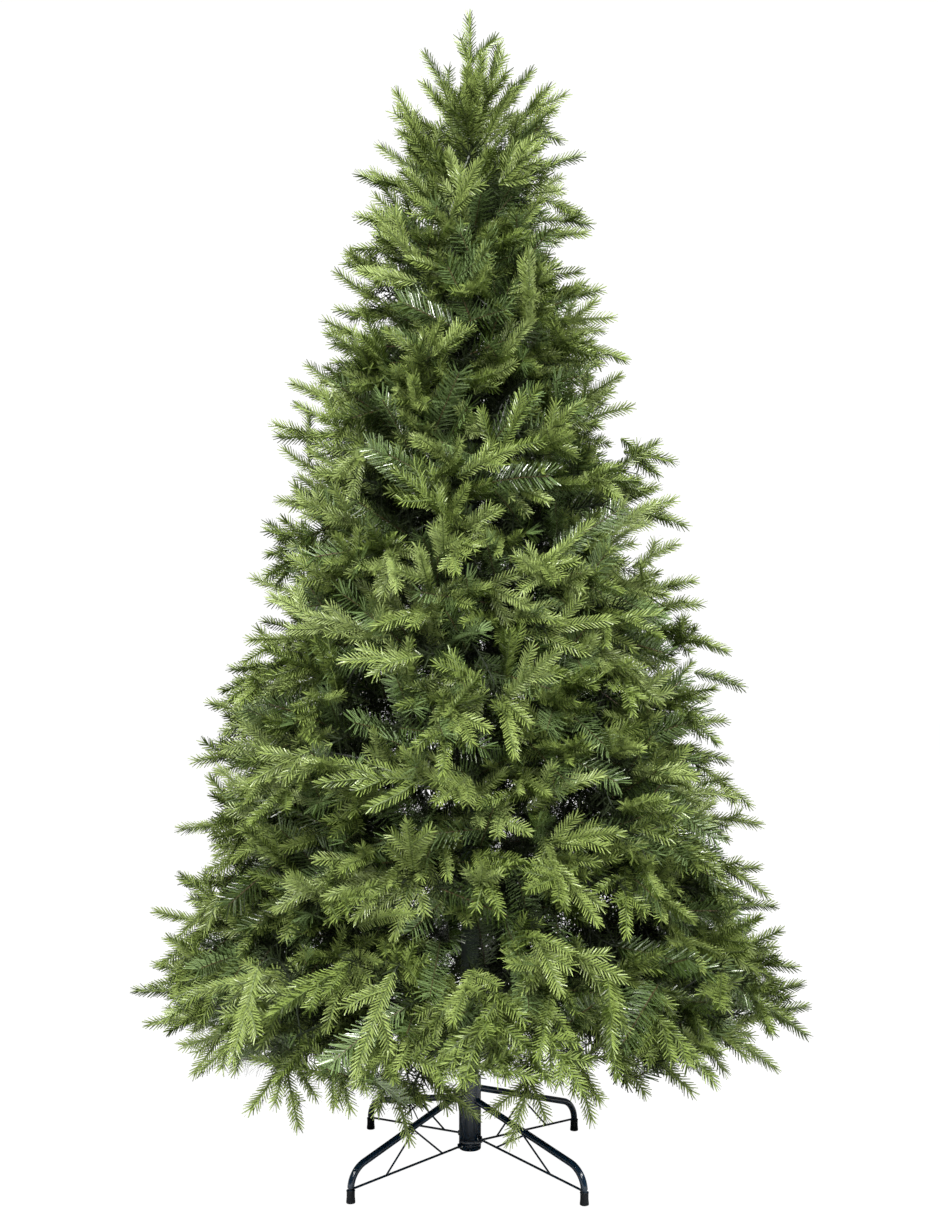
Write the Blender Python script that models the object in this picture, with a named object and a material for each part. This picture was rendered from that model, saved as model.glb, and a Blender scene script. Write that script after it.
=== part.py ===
"""An artificial Christmas tree on its folding steel stand, bare of decorations.

Metres, +Z up. The origin is on the floor, on the axis of the pole, and the tree's front faces -Y.
A steel pole, thinner in two steps, stands in a socket on four bent legs. Eight tiers of branches
grow on it. Each branch is one mass of foliage: a wire stem, a dense core, and forked sprigs that stand
out of the core.
The leader, with rings of shoots round it, sits on the pole's top.
"""

import math
import random

import bmesh
import bpy
from mathutils import Matrix, Vector
from mathutils.bvhtree import BVHTree

# The whole tree
TREE_HEIGHT = 2.10
JOINT_GAP = 0.0003  # clearance between pieces that touch on the real tree
SEED = 24

# The crown's outline: its radius at each height, and where it starts and ends
SKIRT_Z, SKIRT_RADIUS = 0.28, 0.618  # the widest ring of tips
SHOULDER_Z, SHOULDER_RADIUS = 1.95, 0.165  # where the sides end and the leader begins
OUTLINE_POWER = 0.97  # under 1 bulges the sides of the cone outwards
UNDERSIDE_SLOPE = 1.0  # how fast the radius shrinks below the skirt

# Tiers of branches, from the bottom. The surfaces between them start on the pole and end at the rim.
MASSES_IN_TIER = (8, 7, 6, 6, 5, 4, 4, 3)
POLE_LOW_Z, POLE_HIGH_Z = 0.215, 1.80  # lowest and highest tier surface, at the pole
RIM_LOW_Z, RIM_HIGH_Z = 0.205, 1.97  # the same two surfaces, at the rim
WAVE_HEIGHT, WAVE_COUNT, WAVE_SHIFT = 0.026, 4, 2.1  # the surfaces rise and fall round the tree
ARCH_HEIGHT = 0.050  # and bow upwards between the pole and the rim, those at mid height this much
CELL_MARGIN = 0.005  # every mass stays this far inside its own space
POLE_ROOM = 0.026  # no sprig comes nearer to the pole's axis than this

# The core of a mass: how much of its space it fills, as (share of its length, share of the width there)
CORE_FULLNESS = ((0.0, 0.50), (0.28, 0.92), (0.74, 0.97), (1.0, 0.68))
CORE_DEPTH = 0.78  # its outer end lies this far inside the crown's outline, as a share of a sprig's length
CORE_SIDES = 8
CORE_LUMPS = 0.12  # how far its corners are drawn in at most

# Sprigs: three shoots that fork inside the core and stand out of it, each one larger than life
SPRIG_LENGTH_LOW, SPRIG_LENGTH_HIGH = 0.140, 0.100  # outside the core, at the skirt and at the shoulder
SPRIG_RISE_LOW, SPRIG_RISE_HIGH = -20.0, 40.0  # degrees above level, at the skirt and at the shoulder
SPRIG_SPACING = 1.13  # distance between sprigs over the rim, as a share of their length
SPRIG_FORK = 0.045  # depth in the core where the shoots part
SPRIG_SPREAD = 34.0  # degrees between the middle shoot and the outer two
SPRIG_SIDE_SHOOT = 0.80  # length of the outer two, as a share of the middle one's
SHOOT_ROOT = 0.016  # depth of a shoot's root in the core
SHOOT_NECK, SHOOT_RADIUS = 0.009, 0.0190  # radii at its root and where it is widest
SHOOT_BELLY = 0.45  # where it is widest, as a share of its length
STEM_RADIUS, STEM_TIP_RADIUS = 0.0055, 0.0030
STEM_LEVEL_RUN = 0.012  # the stem leaves the pole level for this length

# The leader: a slim core of its own, as (height, radius), and rings of shoots that stand out of it, as
# (height of the tips, distance from the axis, rise in degrees, how many, direction of the first)
LEADER_CORE = ((1.803, 0.010), (1.875, 0.040), (1.940, 0.044), (2.000, 0.026), (2.055, 0.012))
LEADER_SIDES = 6
LEADER_RINGS = (
    (2.060, 0.045, 68, 3, 100),
    (2.030, 0.078, 55, 5, 10),
    (1.985, 0.115, 45, 6, 40),
    (1.935, 0.140, 40, 7, 15),
)

# The pole: one steel tube in steps, each thinner than the one below, with a ring at each tier
POLE_RADII = (0.016, 0.014, 0.011)
POLE_STEPS = (0.0318, 0.85, 1.42, 1.7997)  # foot, two steps, top
POLE_SIDES = 10
RING_LIP, RING_HEIGHT = 0.005, 0.016

# The stand
SOCKET_RADIUS, SOCKET_WALL = 0.020, 0.0015
SOCKET_LOW_Z, SOCKET_HIGH_Z = 0.0285, 0.160
SOCKET_GROOVE_Z, SOCKET_GROOVE = 0.048, 0.0008
SOCKET_FLOOR = 0.0030
STAND_TURN = -1.3  # degrees: the legs aren't quite on the diagonals
FOOT_DISTANCE = 0.280  # from the pole's axis to the middle of a foot
LEG_RADIUS = 0.006
LEG_SIDES = 10
LEG_BEND = 0.042  # radius of the bend above the foot
LEG_STRAIGHT_Z = 0.0225  # where the bend ends and the leg is upright, just above the cap
LEG_SLOPES = (13.6, 17.5)  # degrees: the inner pair nests under the outer pair
BRACE_HUB_Z = (0.052, 0.038)  # height of the brace at the socket, for the same pairs
BRACE_FOOT_Z = 0.023
BRACE_RADIUS, WEB_RADIUS = 0.0016, 0.0012
WEB_PEAK = 0.136  # distance from the axis where the two webs meet under the leg
WEB_FEET = (0.068, 0.201)  # distances where the webs stand on the brace
CAP_RADIUS_TOP, CAP_RADIUS_FOOT = 0.0071, 0.0078
CAP_HEIGHT, CAP_FLOOR = 0.022, 0.0030

MATERIALS = {
    # name: (linear colour, roughness, metallic)
    "foliage": ((0.115, 0.165, 0.045), 0.60, 0.0),
    "pole_paint": ((0.018, 0.035, 0.022), 0.45, 0.0),
    "stand_paint": ((0.017, 0.022, 0.030), 0.32, 0.0),
    "rubber": ((0.020, 0.020, 0.024), 0.70, 0.0),
}


def clear_scene():
    for obj in list(bpy.data.objects):
        bpy.data.objects.remove(obj)


def material(name):
    """The named finish, made the first time that it is asked for."""
    found = bpy.data.materials.get(name)
    if found:
        return found
    colour, roughness, metallic = MATERIALS[name]
    made = bpy.data.materials.new(name)
    made.use_nodes = True
    shader = made.node_tree.nodes["Principled BSDF"]
    shader.inputs["Base Color"].default_value = (*colour, 1.0)
    shader.inputs["Roughness"].default_value = roughness
    shader.inputs["Metallic"].default_value = metallic
    return made


def add_object(name, bm, finish, smooth=True):
    """Puts a bmesh into the scene as an object with one material."""
    mesh = bpy.data.meshes.new(name)
    bm.to_mesh(mesh)
    bm.free()
    mesh.materials.append(material(finish))
    if smooth:
        mesh.shade_smooth()
        mesh.set_sharp_from_angle(angle=math.radians(35))
    obj = bpy.data.objects.new(name, mesh)
    bpy.context.scene.collection.objects.link(obj)
    return obj


def mix(low, high, share):
    return low + (high - low) * share


# Basic shapes


def turned(profile, sides):
    """A bmesh turned about Z from a closed profile of (radius, height), listed once round."""
    bm = bmesh.new()
    ring = [bm.verts.new((radius, 0.0, height)) for radius, height in profile]
    edges = [bm.edges.new((ring[i - 1], ring[i])) for i in range(len(ring))]
    bmesh.ops.spin(
        bm,
        geom=ring + edges,
        cent=(0, 0, 0),
        axis=(0, 0, 1),
        angle=2 * math.pi,
        steps=sides,
        use_merge=True,
    )
    bmesh.ops.remove_doubles(bm, verts=bm.verts, dist=1e-6)
    on_axis_only = [edge for edge in bm.edges if not edge.link_faces]
    bmesh.ops.delete(bm, geom=on_axis_only, context="EDGES")
    bmesh.ops.recalc_face_normals(bm, faces=bm.faces)
    return bm


def swept(path, radii, sides):
    """A bmesh of a round bar that follows the path and takes each point's radius."""
    bm = bmesh.new()
    path = [Vector(point) for point in path]
    rings = []
    side_way = None
    for i, (point, radius) in enumerate(zip(path, radii)):
        along = (path[min(i + 1, len(path) - 1)] - path[max(i - 1, 0)]).normalized()
        if side_way is None:
            side_way = along.orthogonal().normalized()
        side_way = (side_way - along * side_way.dot(along)).normalized()
        across = along.cross(side_way)
        turns = [2 * math.pi * k / sides for k in range(sides)]
        rings.append(
            [bm.verts.new(point + radius * (math.cos(a) * side_way + math.sin(a) * across)) for a in turns]
        )
    for below, above in zip(rings, rings[1:]):
        for k in range(sides):
            bm.faces.new((below[k - 1], below[k], above[k], above[k - 1]))
    bm.faces.new(reversed(rings[0]))
    bm.faces.new(rings[-1])
    bmesh.ops.recalc_face_normals(bm, faces=bm.faces)
    return bm


def largest_shell(bm):
    """Drops every shell but the one with the largest box: loose scraps and sealed hollows."""
    left = set(bm.verts)
    shells = []
    while left:
        shell, edge_of_search = set(), [left.pop()]
        while edge_of_search:
            vert = edge_of_search.pop()
            shell.add(vert)
            for edge in vert.link_edges:
                other = edge.other_vert(vert)
                if other in left:
                    left.remove(other)
                    edge_of_search.append(other)
        shells.append(shell)

    def box_size(shell):
        return sum(max(v.co[k] for v in shell) - min(v.co[k] for v in shell) for k in range(3))

    keep = max(shells, key=box_size)
    bmesh.ops.delete(bm, geom=[v for v in bm.verts if v not in keep], context="VERTS")


def fused(name, pieces, finish, smooth=True):
    """One object from several bmeshes, by a Boolean union of the first with a collection of the rest."""
    base = add_object(name, pieces[0], finish, smooth=False)
    others = bpy.data.collections.new(name + "_pieces")
    bpy.context.scene.collection.children.link(others)
    for number, bm in enumerate(pieces[1:]):
        other = add_object(f"{name}_piece_{number}", bm, finish, smooth=False)
        bpy.context.scene.collection.objects.unlink(other)
        others.objects.link(other)
    join = base.modifiers.new("join", "BOOLEAN")
    join.operation = "UNION"
    join.operand_type = "COLLECTION"
    join.collection = others
    join.solver = "EXACT"
    bpy.context.view_layer.update()
    joined = bpy.data.meshes.new_from_object(base.evaluated_get(bpy.context.evaluated_depsgraph_get()))
    for obj in [base, *others.objects]:
        bpy.data.objects.remove(obj)
    bpy.data.collections.remove(others)
    bm = bmesh.new()
    bm.from_mesh(joined)
    bpy.data.meshes.remove(joined)
    bmesh.ops.remove_doubles(bm, verts=bm.verts, dist=1e-6)
    bmesh.ops.dissolve_degenerate(bm, edges=bm.edges, dist=1e-6)
    largest_shell(bm)
    return add_object(name, bm, finish, smooth)


# The stand


def polar(distance, degrees, height):
    angle = math.radians(degrees)
    return Vector((distance * math.cos(angle), distance * math.sin(angle), height))


def socket():
    """The tube that holds the pole, closed at the bottom, with a groove above its lowest ring."""
    outer, inner = SOCKET_RADIUS, SOCKET_RADIUS - SOCKET_WALL
    half_groove = SOCKET_GROOVE / 2
    profile = [
        (0.0, SOCKET_LOW_Z),
        (outer - 0.001, SOCKET_LOW_Z),
        (outer, SOCKET_LOW_Z + 0.001),
        (outer, SOCKET_GROOVE_Z - half_groove),
        (outer - SOCKET_GROOVE, SOCKET_GROOVE_Z - half_groove),
        (outer - SOCKET_GROOVE, SOCKET_GROOVE_Z + half_groove),
        (outer, SOCKET_GROOVE_Z + half_groove),
        (outer, SOCKET_HIGH_Z),
        (inner, SOCKET_HIGH_Z),
        (inner, SOCKET_LOW_Z + SOCKET_FLOOR),
        (0.0, SOCKET_LOW_Z + SOCKET_FLOOR),
    ]
    return add_object("stand_socket", turned(profile, 20), "stand_paint")


def leg_path(slope):
    """The leg's centre line as (distance, height): down from the socket, then a bend to upright."""
    steps = 7
    bend_low = Vector((FOOT_DISTANCE, LEG_STRAIGHT_Z))
    centre = bend_low - Vector((LEG_BEND, 0.0))
    angles = [math.radians(mix(90 - slope, 0, k / steps)) for k in range(steps + 1)]
    bend = [centre + LEG_BEND * Vector((math.cos(a), math.sin(a))) for a in angles]
    hub_distance = SOCKET_RADIUS - 0.008  # the end is coped away to fit the socket
    hub = Vector((hub_distance, bend[0].y + (bend[0].x - hub_distance) * math.tan(math.radians(slope))))
    foot = Vector((FOOT_DISTANCE, CAP_FLOOR + JOINT_GAP))
    return [hub, *bend, foot]


def leg(number, degrees, slope):
    path = [polar(distance, degrees, height) for distance, height in leg_path(slope)]
    bar = swept(path, [LEG_RADIUS] * len(path), LEG_SIDES)
    obj = add_object(f"stand_leg_{number}", bar, "stand_paint")
    room = SOCKET_RADIUS + JOINT_GAP
    column = turned([(0.0, 0.0), (room, 0.0), (room, 0.3), (0.0, 0.3)], 24)
    cutter = add_object(f"socket_room_{number}", column, "stand_paint")
    cutter.hide_render = True
    cutter.display_type = "WIRE"
    cope = obj.modifiers.new("cope", "BOOLEAN")
    cope.operation = "DIFFERENCE"
    cope.object = cutter
    cope.solver = "EXACT"
    return obj


def brace(number, degrees, slope, hub_z):
    """The thin bar from the socket to the foot, with two webs that meet under the leg."""
    foot_distance = FOOT_DISTANCE - LEG_RADIUS - JOINT_GAP
    hub = polar(SOCKET_RADIUS + 2 * JOINT_GAP, degrees, hub_z)
    foot = polar(foot_distance - 0.0008, degrees, BRACE_FOOT_Z)
    start, end = leg_path(slope)[:2]
    share = (WEB_PEAK - start.x) / (end.x - start.x)
    under_leg = mix(start.y, end.y, share) - (LEG_RADIUS + WEB_RADIUS) / math.cos(math.radians(slope))
    peak = polar(WEB_PEAK, degrees, under_leg - JOINT_GAP)
    pieces = [swept([hub, foot], [BRACE_RADIUS] * 2, 6)]
    along = (foot - hub).normalized()
    for distance in WEB_FEET:
        stand = hub + along * (distance - SOCKET_RADIUS)
        pieces.append(swept([stand, peak], [WEB_RADIUS] * 2, 6))
    return fused(f"stand_brace_{number}", pieces, "stand_paint")


def foot_cap(number, degrees):
    """The rubber cap on the leg's end, wider at the floor."""
    bore = LEG_RADIUS + JOINT_GAP
    profile = [
        (0.0, 0.0),
        (CAP_RADIUS_FOOT, 0.0),
        (CAP_RADIUS_FOOT, 0.003),
        (CAP_RADIUS_TOP, CAP_HEIGHT * 0.55),
        (CAP_RADIUS_TOP, CAP_HEIGHT),
        (bore, CAP_HEIGHT),
        (bore, CAP_FLOOR),
        (0.0, CAP_FLOOR),
    ]
    obj = add_object(f"foot_cap_{number}", turned(profile, 12), "rubber")
    obj.location = polar(FOOT_DISTANCE, degrees, 0.0)
    return obj


def stand():
    socket()
    for number in range(4):
        degrees = 90 * number + 45 + STAND_TURN
        pair = (number + 1) % 2
        leg(number + 1, degrees, LEG_SLOPES[pair])
        brace(number + 1, degrees, LEG_SLOPES[pair], BRACE_HUB_Z[pair])
        foot_cap(number + 1, degrees)


# The pole


def stem_height(tier):
    """Height on the pole where the tier's branches start."""
    return mix(POLE_LOW_Z, POLE_HIGH_Z, (tier + 0.5) / len(MASSES_IN_TIER))


def pole_radius(height):
    for radius, top in zip(POLE_RADII, POLE_STEPS[1:]):
        if height < top:
            return radius
    return POLE_RADII[-1]


def ring_reach(tier, angle):
    """How far the tier's ring on the pole, which is a polygon, reaches in this direction."""
    to_corner = math.remainder(angle, 2 * math.pi / POLE_SIDES)
    return (pole_radius(stem_height(tier)) + RING_LIP) * math.cos(to_corner)


def pole():
    """The trunk of the tree, whole from the socket to the leader's foot."""
    profile = [(0.0, POLE_STEPS[0])]
    for radius, low, high in zip(POLE_RADII, POLE_STEPS, POLE_STEPS[1:]):
        profile.append((radius, low))
        for tier in range(len(MASSES_IN_TIER)):
            ring = stem_height(tier)
            if low < ring < high:
                for reach, height in ((0, -0.5), (1, -0.5), (1, 0.5), (0, 0.5)):
                    profile.append((radius + reach * RING_LIP, ring + height * RING_HEIGHT))
        profile.append((radius, high))
    profile.append((0.0, POLE_STEPS[-1]))
    add_object("pole", turned(profile, POLE_SIDES), "pole_paint")


# The crown


def crown_radius(height):
    """How far the tips reach from the pole at this height."""
    if height < SKIRT_Z:
        return SKIRT_RADIUS - UNDERSIDE_SLOPE * (SKIRT_Z - height)
    share = (SHOULDER_Z - height) / (SHOULDER_Z - SKIRT_Z)
    return mix(SHOULDER_RADIUS, SKIRT_RADIUS, max(share, 0.0) ** OUTLINE_POWER)


def tier_surface(below, distance, angle):
    """Height of the wavy surface under a tier, at this distance from the axis and in this direction."""
    share = below / len(MASSES_IN_TIER)
    pole_z = mix(POLE_LOW_Z, POLE_HIGH_Z, share)
    rim_z = mix(RIM_LOW_Z, RIM_HIGH_Z, share)
    outwards = distance / crown_radius(rim_z)
    wave = WAVE_HEIGHT * (1 - share) * math.sin(WAVE_COUNT * angle + WAVE_SHIFT * below)
    arch = ARCH_HEIGHT * 4 * share * (1 - share) * math.sin(math.pi * min(outwards, 1.0))
    return mix(pole_z, rim_z, outwards) + wave * min(outwards, 1.0) + arch


class Cell:
    """The space of one mass: a wedge round the pole between two tier surfaces."""

    def __init__(self, tier, number):
        count = MASSES_IN_TIER[tier]
        self.tier = tier
        self.half_angle = math.pi / count
        self.middle = 2 * math.pi * (number + 0.5 * (tier % 2) + 0.21 * tier) / count

    def height_at(self, distance, turn, level):
        """Height in the cell: turn runs from -1 to 1 across it, and level from 0 at its bottom to 1."""
        angle = self.middle + turn * self.half_angle
        low, high = (tier_surface(self.tier + side, distance, angle) for side in (0, 1))
        return mix(low, high, level)

    def point(self, distance, turn, level):
        angle = self.middle + turn * self.half_angle
        height = self.height_at(distance, turn, level)
        return Vector((distance * math.cos(angle), distance * math.sin(angle), height))

    def rim(self, turn, level, inside=0.0):
        """The point where the cell meets the crown's outline, or a surface that lies this far inside it."""
        distance = SKIRT_RADIUS
        for _ in range(8):
            distance = crown_radius(self.height_at(distance, turn, level)) - inside
        return self.point(distance, turn, level)

    def holds(self, point, around):
        """True if a ball of this radius at the point is well inside the cell and clear of the pole."""
        distance = math.hypot(point.x, point.y)
        turn = math.remainder(math.atan2(point.y, point.x) - self.middle, 2 * math.pi) / self.half_angle
        side_room = distance * math.sin(self.half_angle * (1 - min(abs(turn), 1)))
        margin = CELL_MARGIN + around
        if distance < POLE_ROOM or side_room < margin:
            return False
        low, high = (self.height_at(distance, turn, level) for level in (0, 1))
        return low + margin < point.z < high - margin


class LeaderCell:
    """The space above the highest tier, round the leader."""

    def holds(self, point, around):
        distance = math.hypot(point.x, point.y)
        angle = math.atan2(point.y, point.x)
        return point.z > tier_surface(len(MASSES_IN_TIER), distance, angle) + 1.5 * around + CELL_MARGIN


def shoot(root, tip, draw):
    """One needled shoot: a slim three-sided spindle, widest before its middle."""
    along = tip - root
    first = along.orthogonal().normalized()
    start = draw.uniform(0, 120)
    sides = [Matrix.Rotation(math.radians(start + 120 * k), 3, along) @ first for k in range(3)]
    bm = bmesh.new()
    peak = bm.verts.new(tip)
    base = [bm.verts.new(root + SHOOT_NECK * side) for side in sides]
    belly = [bm.verts.new(mix(root, tip, SHOOT_BELLY) + SHOOT_RADIUS * side) for side in sides]
    bm.faces.new(base)
    for k in range(3):
        bm.faces.new((base[k - 1], base[k], belly[k], belly[k - 1]))
        bm.faces.new((belly[k - 1], belly[k], peak))
    bmesh.ops.recalc_face_normals(bm, faces=bm.faces)
    return bm


def add_shoot(cell, root, tip, pieces, others, draw):
    """Makes the shoot, shorter where it has to be, if it stays in its own space and off the others."""
    for length in (1.0, 0.85, 0.70):
        end = mix(root, tip, length)
        sizes = ((SHOOT_BELLY, SHOOT_RADIUS), (0.7, SHOOT_RADIUS / 2), (1.0, 0.0))
        if not all(cell.holds(mix(root, end, share), radius) for share, radius in sizes):
            continue
        bm = shoot(root, end, draw)
        tree = BVHTree.FromBMesh(bm)
        if not any(tree.overlap(other) for other in others):
            pieces.append(bm)
            others.append(tree)
            return
        bm.free()


def add_sprig(cell, tip, along, length, core_tree, pieces, others, draw):
    """A forked sprig: its middle shoot ends at the tip, and one more stands on each side of it."""
    hit = core_tree.ray_cast(tip, -along, 2 * length)[0]
    if hit is None:
        hit = core_tree.find_nearest(tip)[0]
        along = (tip - hit).normalized()
    fork = hit - along * SPRIG_FORK
    reach = (tip - fork).length
    across = along.cross(Vector((0, 0, 1))).normalized()
    across.rotate(Matrix.Rotation(math.radians(draw.uniform(-55, 55)), 3, along))
    for side in (0, 1, -1):
        way = along.copy()
        size = 1.0
        if side:
            spread = math.radians(SPRIG_SPREAD * draw.uniform(0.85, 1.15)) * side
            way = along * math.cos(spread) + across * math.sin(spread)
            size = SPRIG_SIDE_SHOOT * draw.uniform(0.9, 1.1)
        root = fork + way * (SPRIG_FORK - SHOOT_ROOT)
        add_shoot(cell, root, fork + way * reach * size, pieces, others, draw)


def core(cell, start, inside, draw):
    """The dense inside of a mass: a lumpy rounded block that fills most of its space."""
    bm = bmesh.new()
    rings = []
    for share, full in CORE_FULLNESS:
        ring = []
        for k in range(CORE_SIDES):
            angle = 2 * math.pi * (k + 0.5) / CORE_SIDES
            ways = (math.cos(angle), math.sin(angle))
            across, lift = (math.copysign(abs(way) ** 0.6, way) * full for way in ways)
            turn = across * draw.uniform(1 - CORE_LUMPS, 1.0)
            level = 0.5 + 0.5 * lift * draw.uniform(1 - CORE_LUMPS / 3, 1.0)
            distance = mix(start, cell.rim(turn, level, inside).xy.length, share)
            ring.append(bm.verts.new(cell.point(distance * draw.uniform(0.97, 1.0), turn, level)))
        rings.append(ring)
    for inner, outer in zip(rings, rings[1:]):
        for k in range(CORE_SIDES):
            bm.faces.new((inner[k - 1], inner[k], outer[k], outer[k - 1]))
    bm.faces.new(reversed(rings[0]))
    bm.faces.new(rings[-1])
    bmesh.ops.triangulate(bm, faces=bm.faces)
    bmesh.ops.recalc_face_normals(bm, faces=bm.faces)
    return bm


def mass(name, tier, number, draw):
    """One branch of a tier with all that grows on it, fused to one solid."""
    cell = Cell(tier, number)
    tier_share = tier / (len(MASSES_IN_TIER) - 1)
    length = mix(SPRIG_LENGTH_LOW, SPRIG_LENGTH_HIGH, tier_share)
    rise = mix(SPRIG_RISE_LOW, SPRIG_RISE_HIGH, tier_share)
    start = ring_reach(tier, cell.middle) + JOINT_GAP
    reach = cell.rim(0, 0.5).xy.length

    # The stem leaves the ring on the pole level, so that its flat end stands just clear of the ring
    path = [polar(start + run, math.degrees(cell.middle), stem_height(tier)) for run in (0, STEM_LEVEL_RUN)]
    path.append(cell.point(0.5 * reach, 0, 0.5))
    pieces = [
        core(cell, start + STEM_LEVEL_RUN, CORE_DEPTH * length, draw),
        swept(path, [STEM_RADIUS, STEM_RADIUS, STEM_TIP_RADIUS], 3),
    ]
    core_tree = BVHTree.FromBMesh(pieces[0])
    shoot_trees = []

    # Sprigs stand evenly over the outer side: each next one is a golden share across and a step higher
    outer_area = 2 * cell.half_angle * reach * (cell.height_at(reach, 0, 1) - cell.height_at(reach, 0, 0))
    count = round(outer_area / (SPRIG_SPACING * length) ** 2)
    for k in range(count):
        turn = 1.76 * ((0.5 + 0.618 * k) % 1) - 0.88
        level = mix(0.10, 0.90, ((k + 0.5) / count + 0.5) % 1)
        inside = 0.0 if k == 0 else draw.uniform(0.0, 0.2) * length
        tip = cell.rim(turn, level, inside)
        heading = math.degrees(cell.middle + turn * cell.half_angle * 1.15) + draw.uniform(-8, 8)
        up = math.radians(rise + 20 * (level - 0.5) + draw.uniform(-8, 8))
        along = polar(math.cos(up), heading, math.sin(up))
        add_sprig(cell, tip, along, length, core_tree, pieces, shoot_trees, draw)
    return fused(name, pieces, "foliage", smooth=False)


def leader(draw):
    """The top of the tree: a slim core on the pole's end, and shoots that climb round it to the tip."""
    cell = LeaderCell()
    path = [Vector((0, 0, POLE_HIGH_Z)), *(Vector((0, 0, height)) for height, _ in LEADER_CORE)]
    pieces = [swept(path, [STEM_RADIUS, *(radius for _, radius in LEADER_CORE)], LEADER_SIDES)]
    shoot_trees = []
    top = LEADER_CORE[-1][0]
    pieces.append(shoot(Vector((0, 0, top - 2 * SHOOT_ROOT)), Vector((0, 0, TREE_HEIGHT)), draw))
    for height, distance, rise, count, first in LEADER_RINGS:
        for k in range(count):
            heading = first + 360 * k / count + draw.uniform(-12, 12)
            tip = polar(distance, heading, height + draw.uniform(-0.012, 0.012))
            root = polar(0.01, heading, tip.z - (distance - 0.01) * math.tan(math.radians(rise)))
            add_shoot(cell, root, tip, pieces, shoot_trees, draw)
    return fused("leader", pieces, "foliage", smooth=False)


def crown():
    draw = random.Random(SEED)
    for tier, count in enumerate(MASSES_IN_TIER):
        for number in range(count):
            mass(f"tier_{tier + 1}_mass_{number + 1}", tier, number, draw)
    leader(draw)


def main():
    clear_scene()
    stand()
    pole()
    crown()


if __name__ == "__main__":
    main()
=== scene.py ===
import math

import bmesh
import bpy
import numpy as np
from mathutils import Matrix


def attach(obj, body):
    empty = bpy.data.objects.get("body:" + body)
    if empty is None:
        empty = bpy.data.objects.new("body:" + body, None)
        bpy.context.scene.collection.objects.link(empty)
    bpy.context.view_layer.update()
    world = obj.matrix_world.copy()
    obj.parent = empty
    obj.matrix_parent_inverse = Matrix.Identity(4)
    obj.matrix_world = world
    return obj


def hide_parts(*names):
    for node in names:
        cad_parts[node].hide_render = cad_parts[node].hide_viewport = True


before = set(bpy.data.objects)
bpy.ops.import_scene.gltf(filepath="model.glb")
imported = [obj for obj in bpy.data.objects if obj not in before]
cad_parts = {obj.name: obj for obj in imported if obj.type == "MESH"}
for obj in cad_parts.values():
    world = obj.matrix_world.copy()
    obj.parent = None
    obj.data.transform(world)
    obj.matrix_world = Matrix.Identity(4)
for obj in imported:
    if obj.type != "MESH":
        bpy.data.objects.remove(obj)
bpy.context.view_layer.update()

# An artificial christmas tree, bare of decorations, on its folding steel stand.
# Metres, Z up. The origin is on the floor under the pole, and the tree's front faces -Y.


# Small helpers

def mix(low, high, share):
    return low + (high - low) * share


def unit(vectors):
    return vectors / np.maximum(np.linalg.norm(vectors, axis=-1, keepdims=True), 1e-9)


def polar(distance, angle, height):
    # points by distance from the pole, direction in radians and height
    distance, angle, height = np.broadcast_arrays(distance, angle, height)
    return np.stack([distance * np.cos(angle), distance * np.sin(angle), height], axis=-1)


upright = np.array([0, 0, 1.0])


def fromPole(points):
    return np.linalg.norm(points[..., :2], axis=-1)


def numberOff(counts):
    # so many things for each owner: the owner of each, and its number there from 0
    owner = np.repeat(np.arange(len(counts)), counts)
    return owner, np.arange(len(owner)) - np.repeat(np.cumsum(counts) - counts, counts)


def linearColour(code):
    # sRGB hex to the linear colour that a shader's socket takes
    values = np.array([int(code[k:k + 2], 16) for k in (1, 3, 5)]) / 255
    linear = np.where(values <= 0.04045, values / 12.92, ((values + 0.055) / 1.055) ** 2.4)
    return (*linear.tolist(), 1.0)


def addNode(tree, kind, settings=(), inputs=()):
    # one shader node; an input is a value, or a (node, output name) pair to link from
    node = tree.nodes.new(kind)
    for name, value in dict(settings).items():
        setattr(node, name, value)
    for name, value in dict(inputs).items():
        if isinstance(value, tuple) and isinstance(value[0], bpy.types.Node):
            tree.links.new(value[0].outputs[value[1]], node.inputs[name])
        else:
            node.inputs[name].default_value = value
    return node


# Materials

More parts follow.
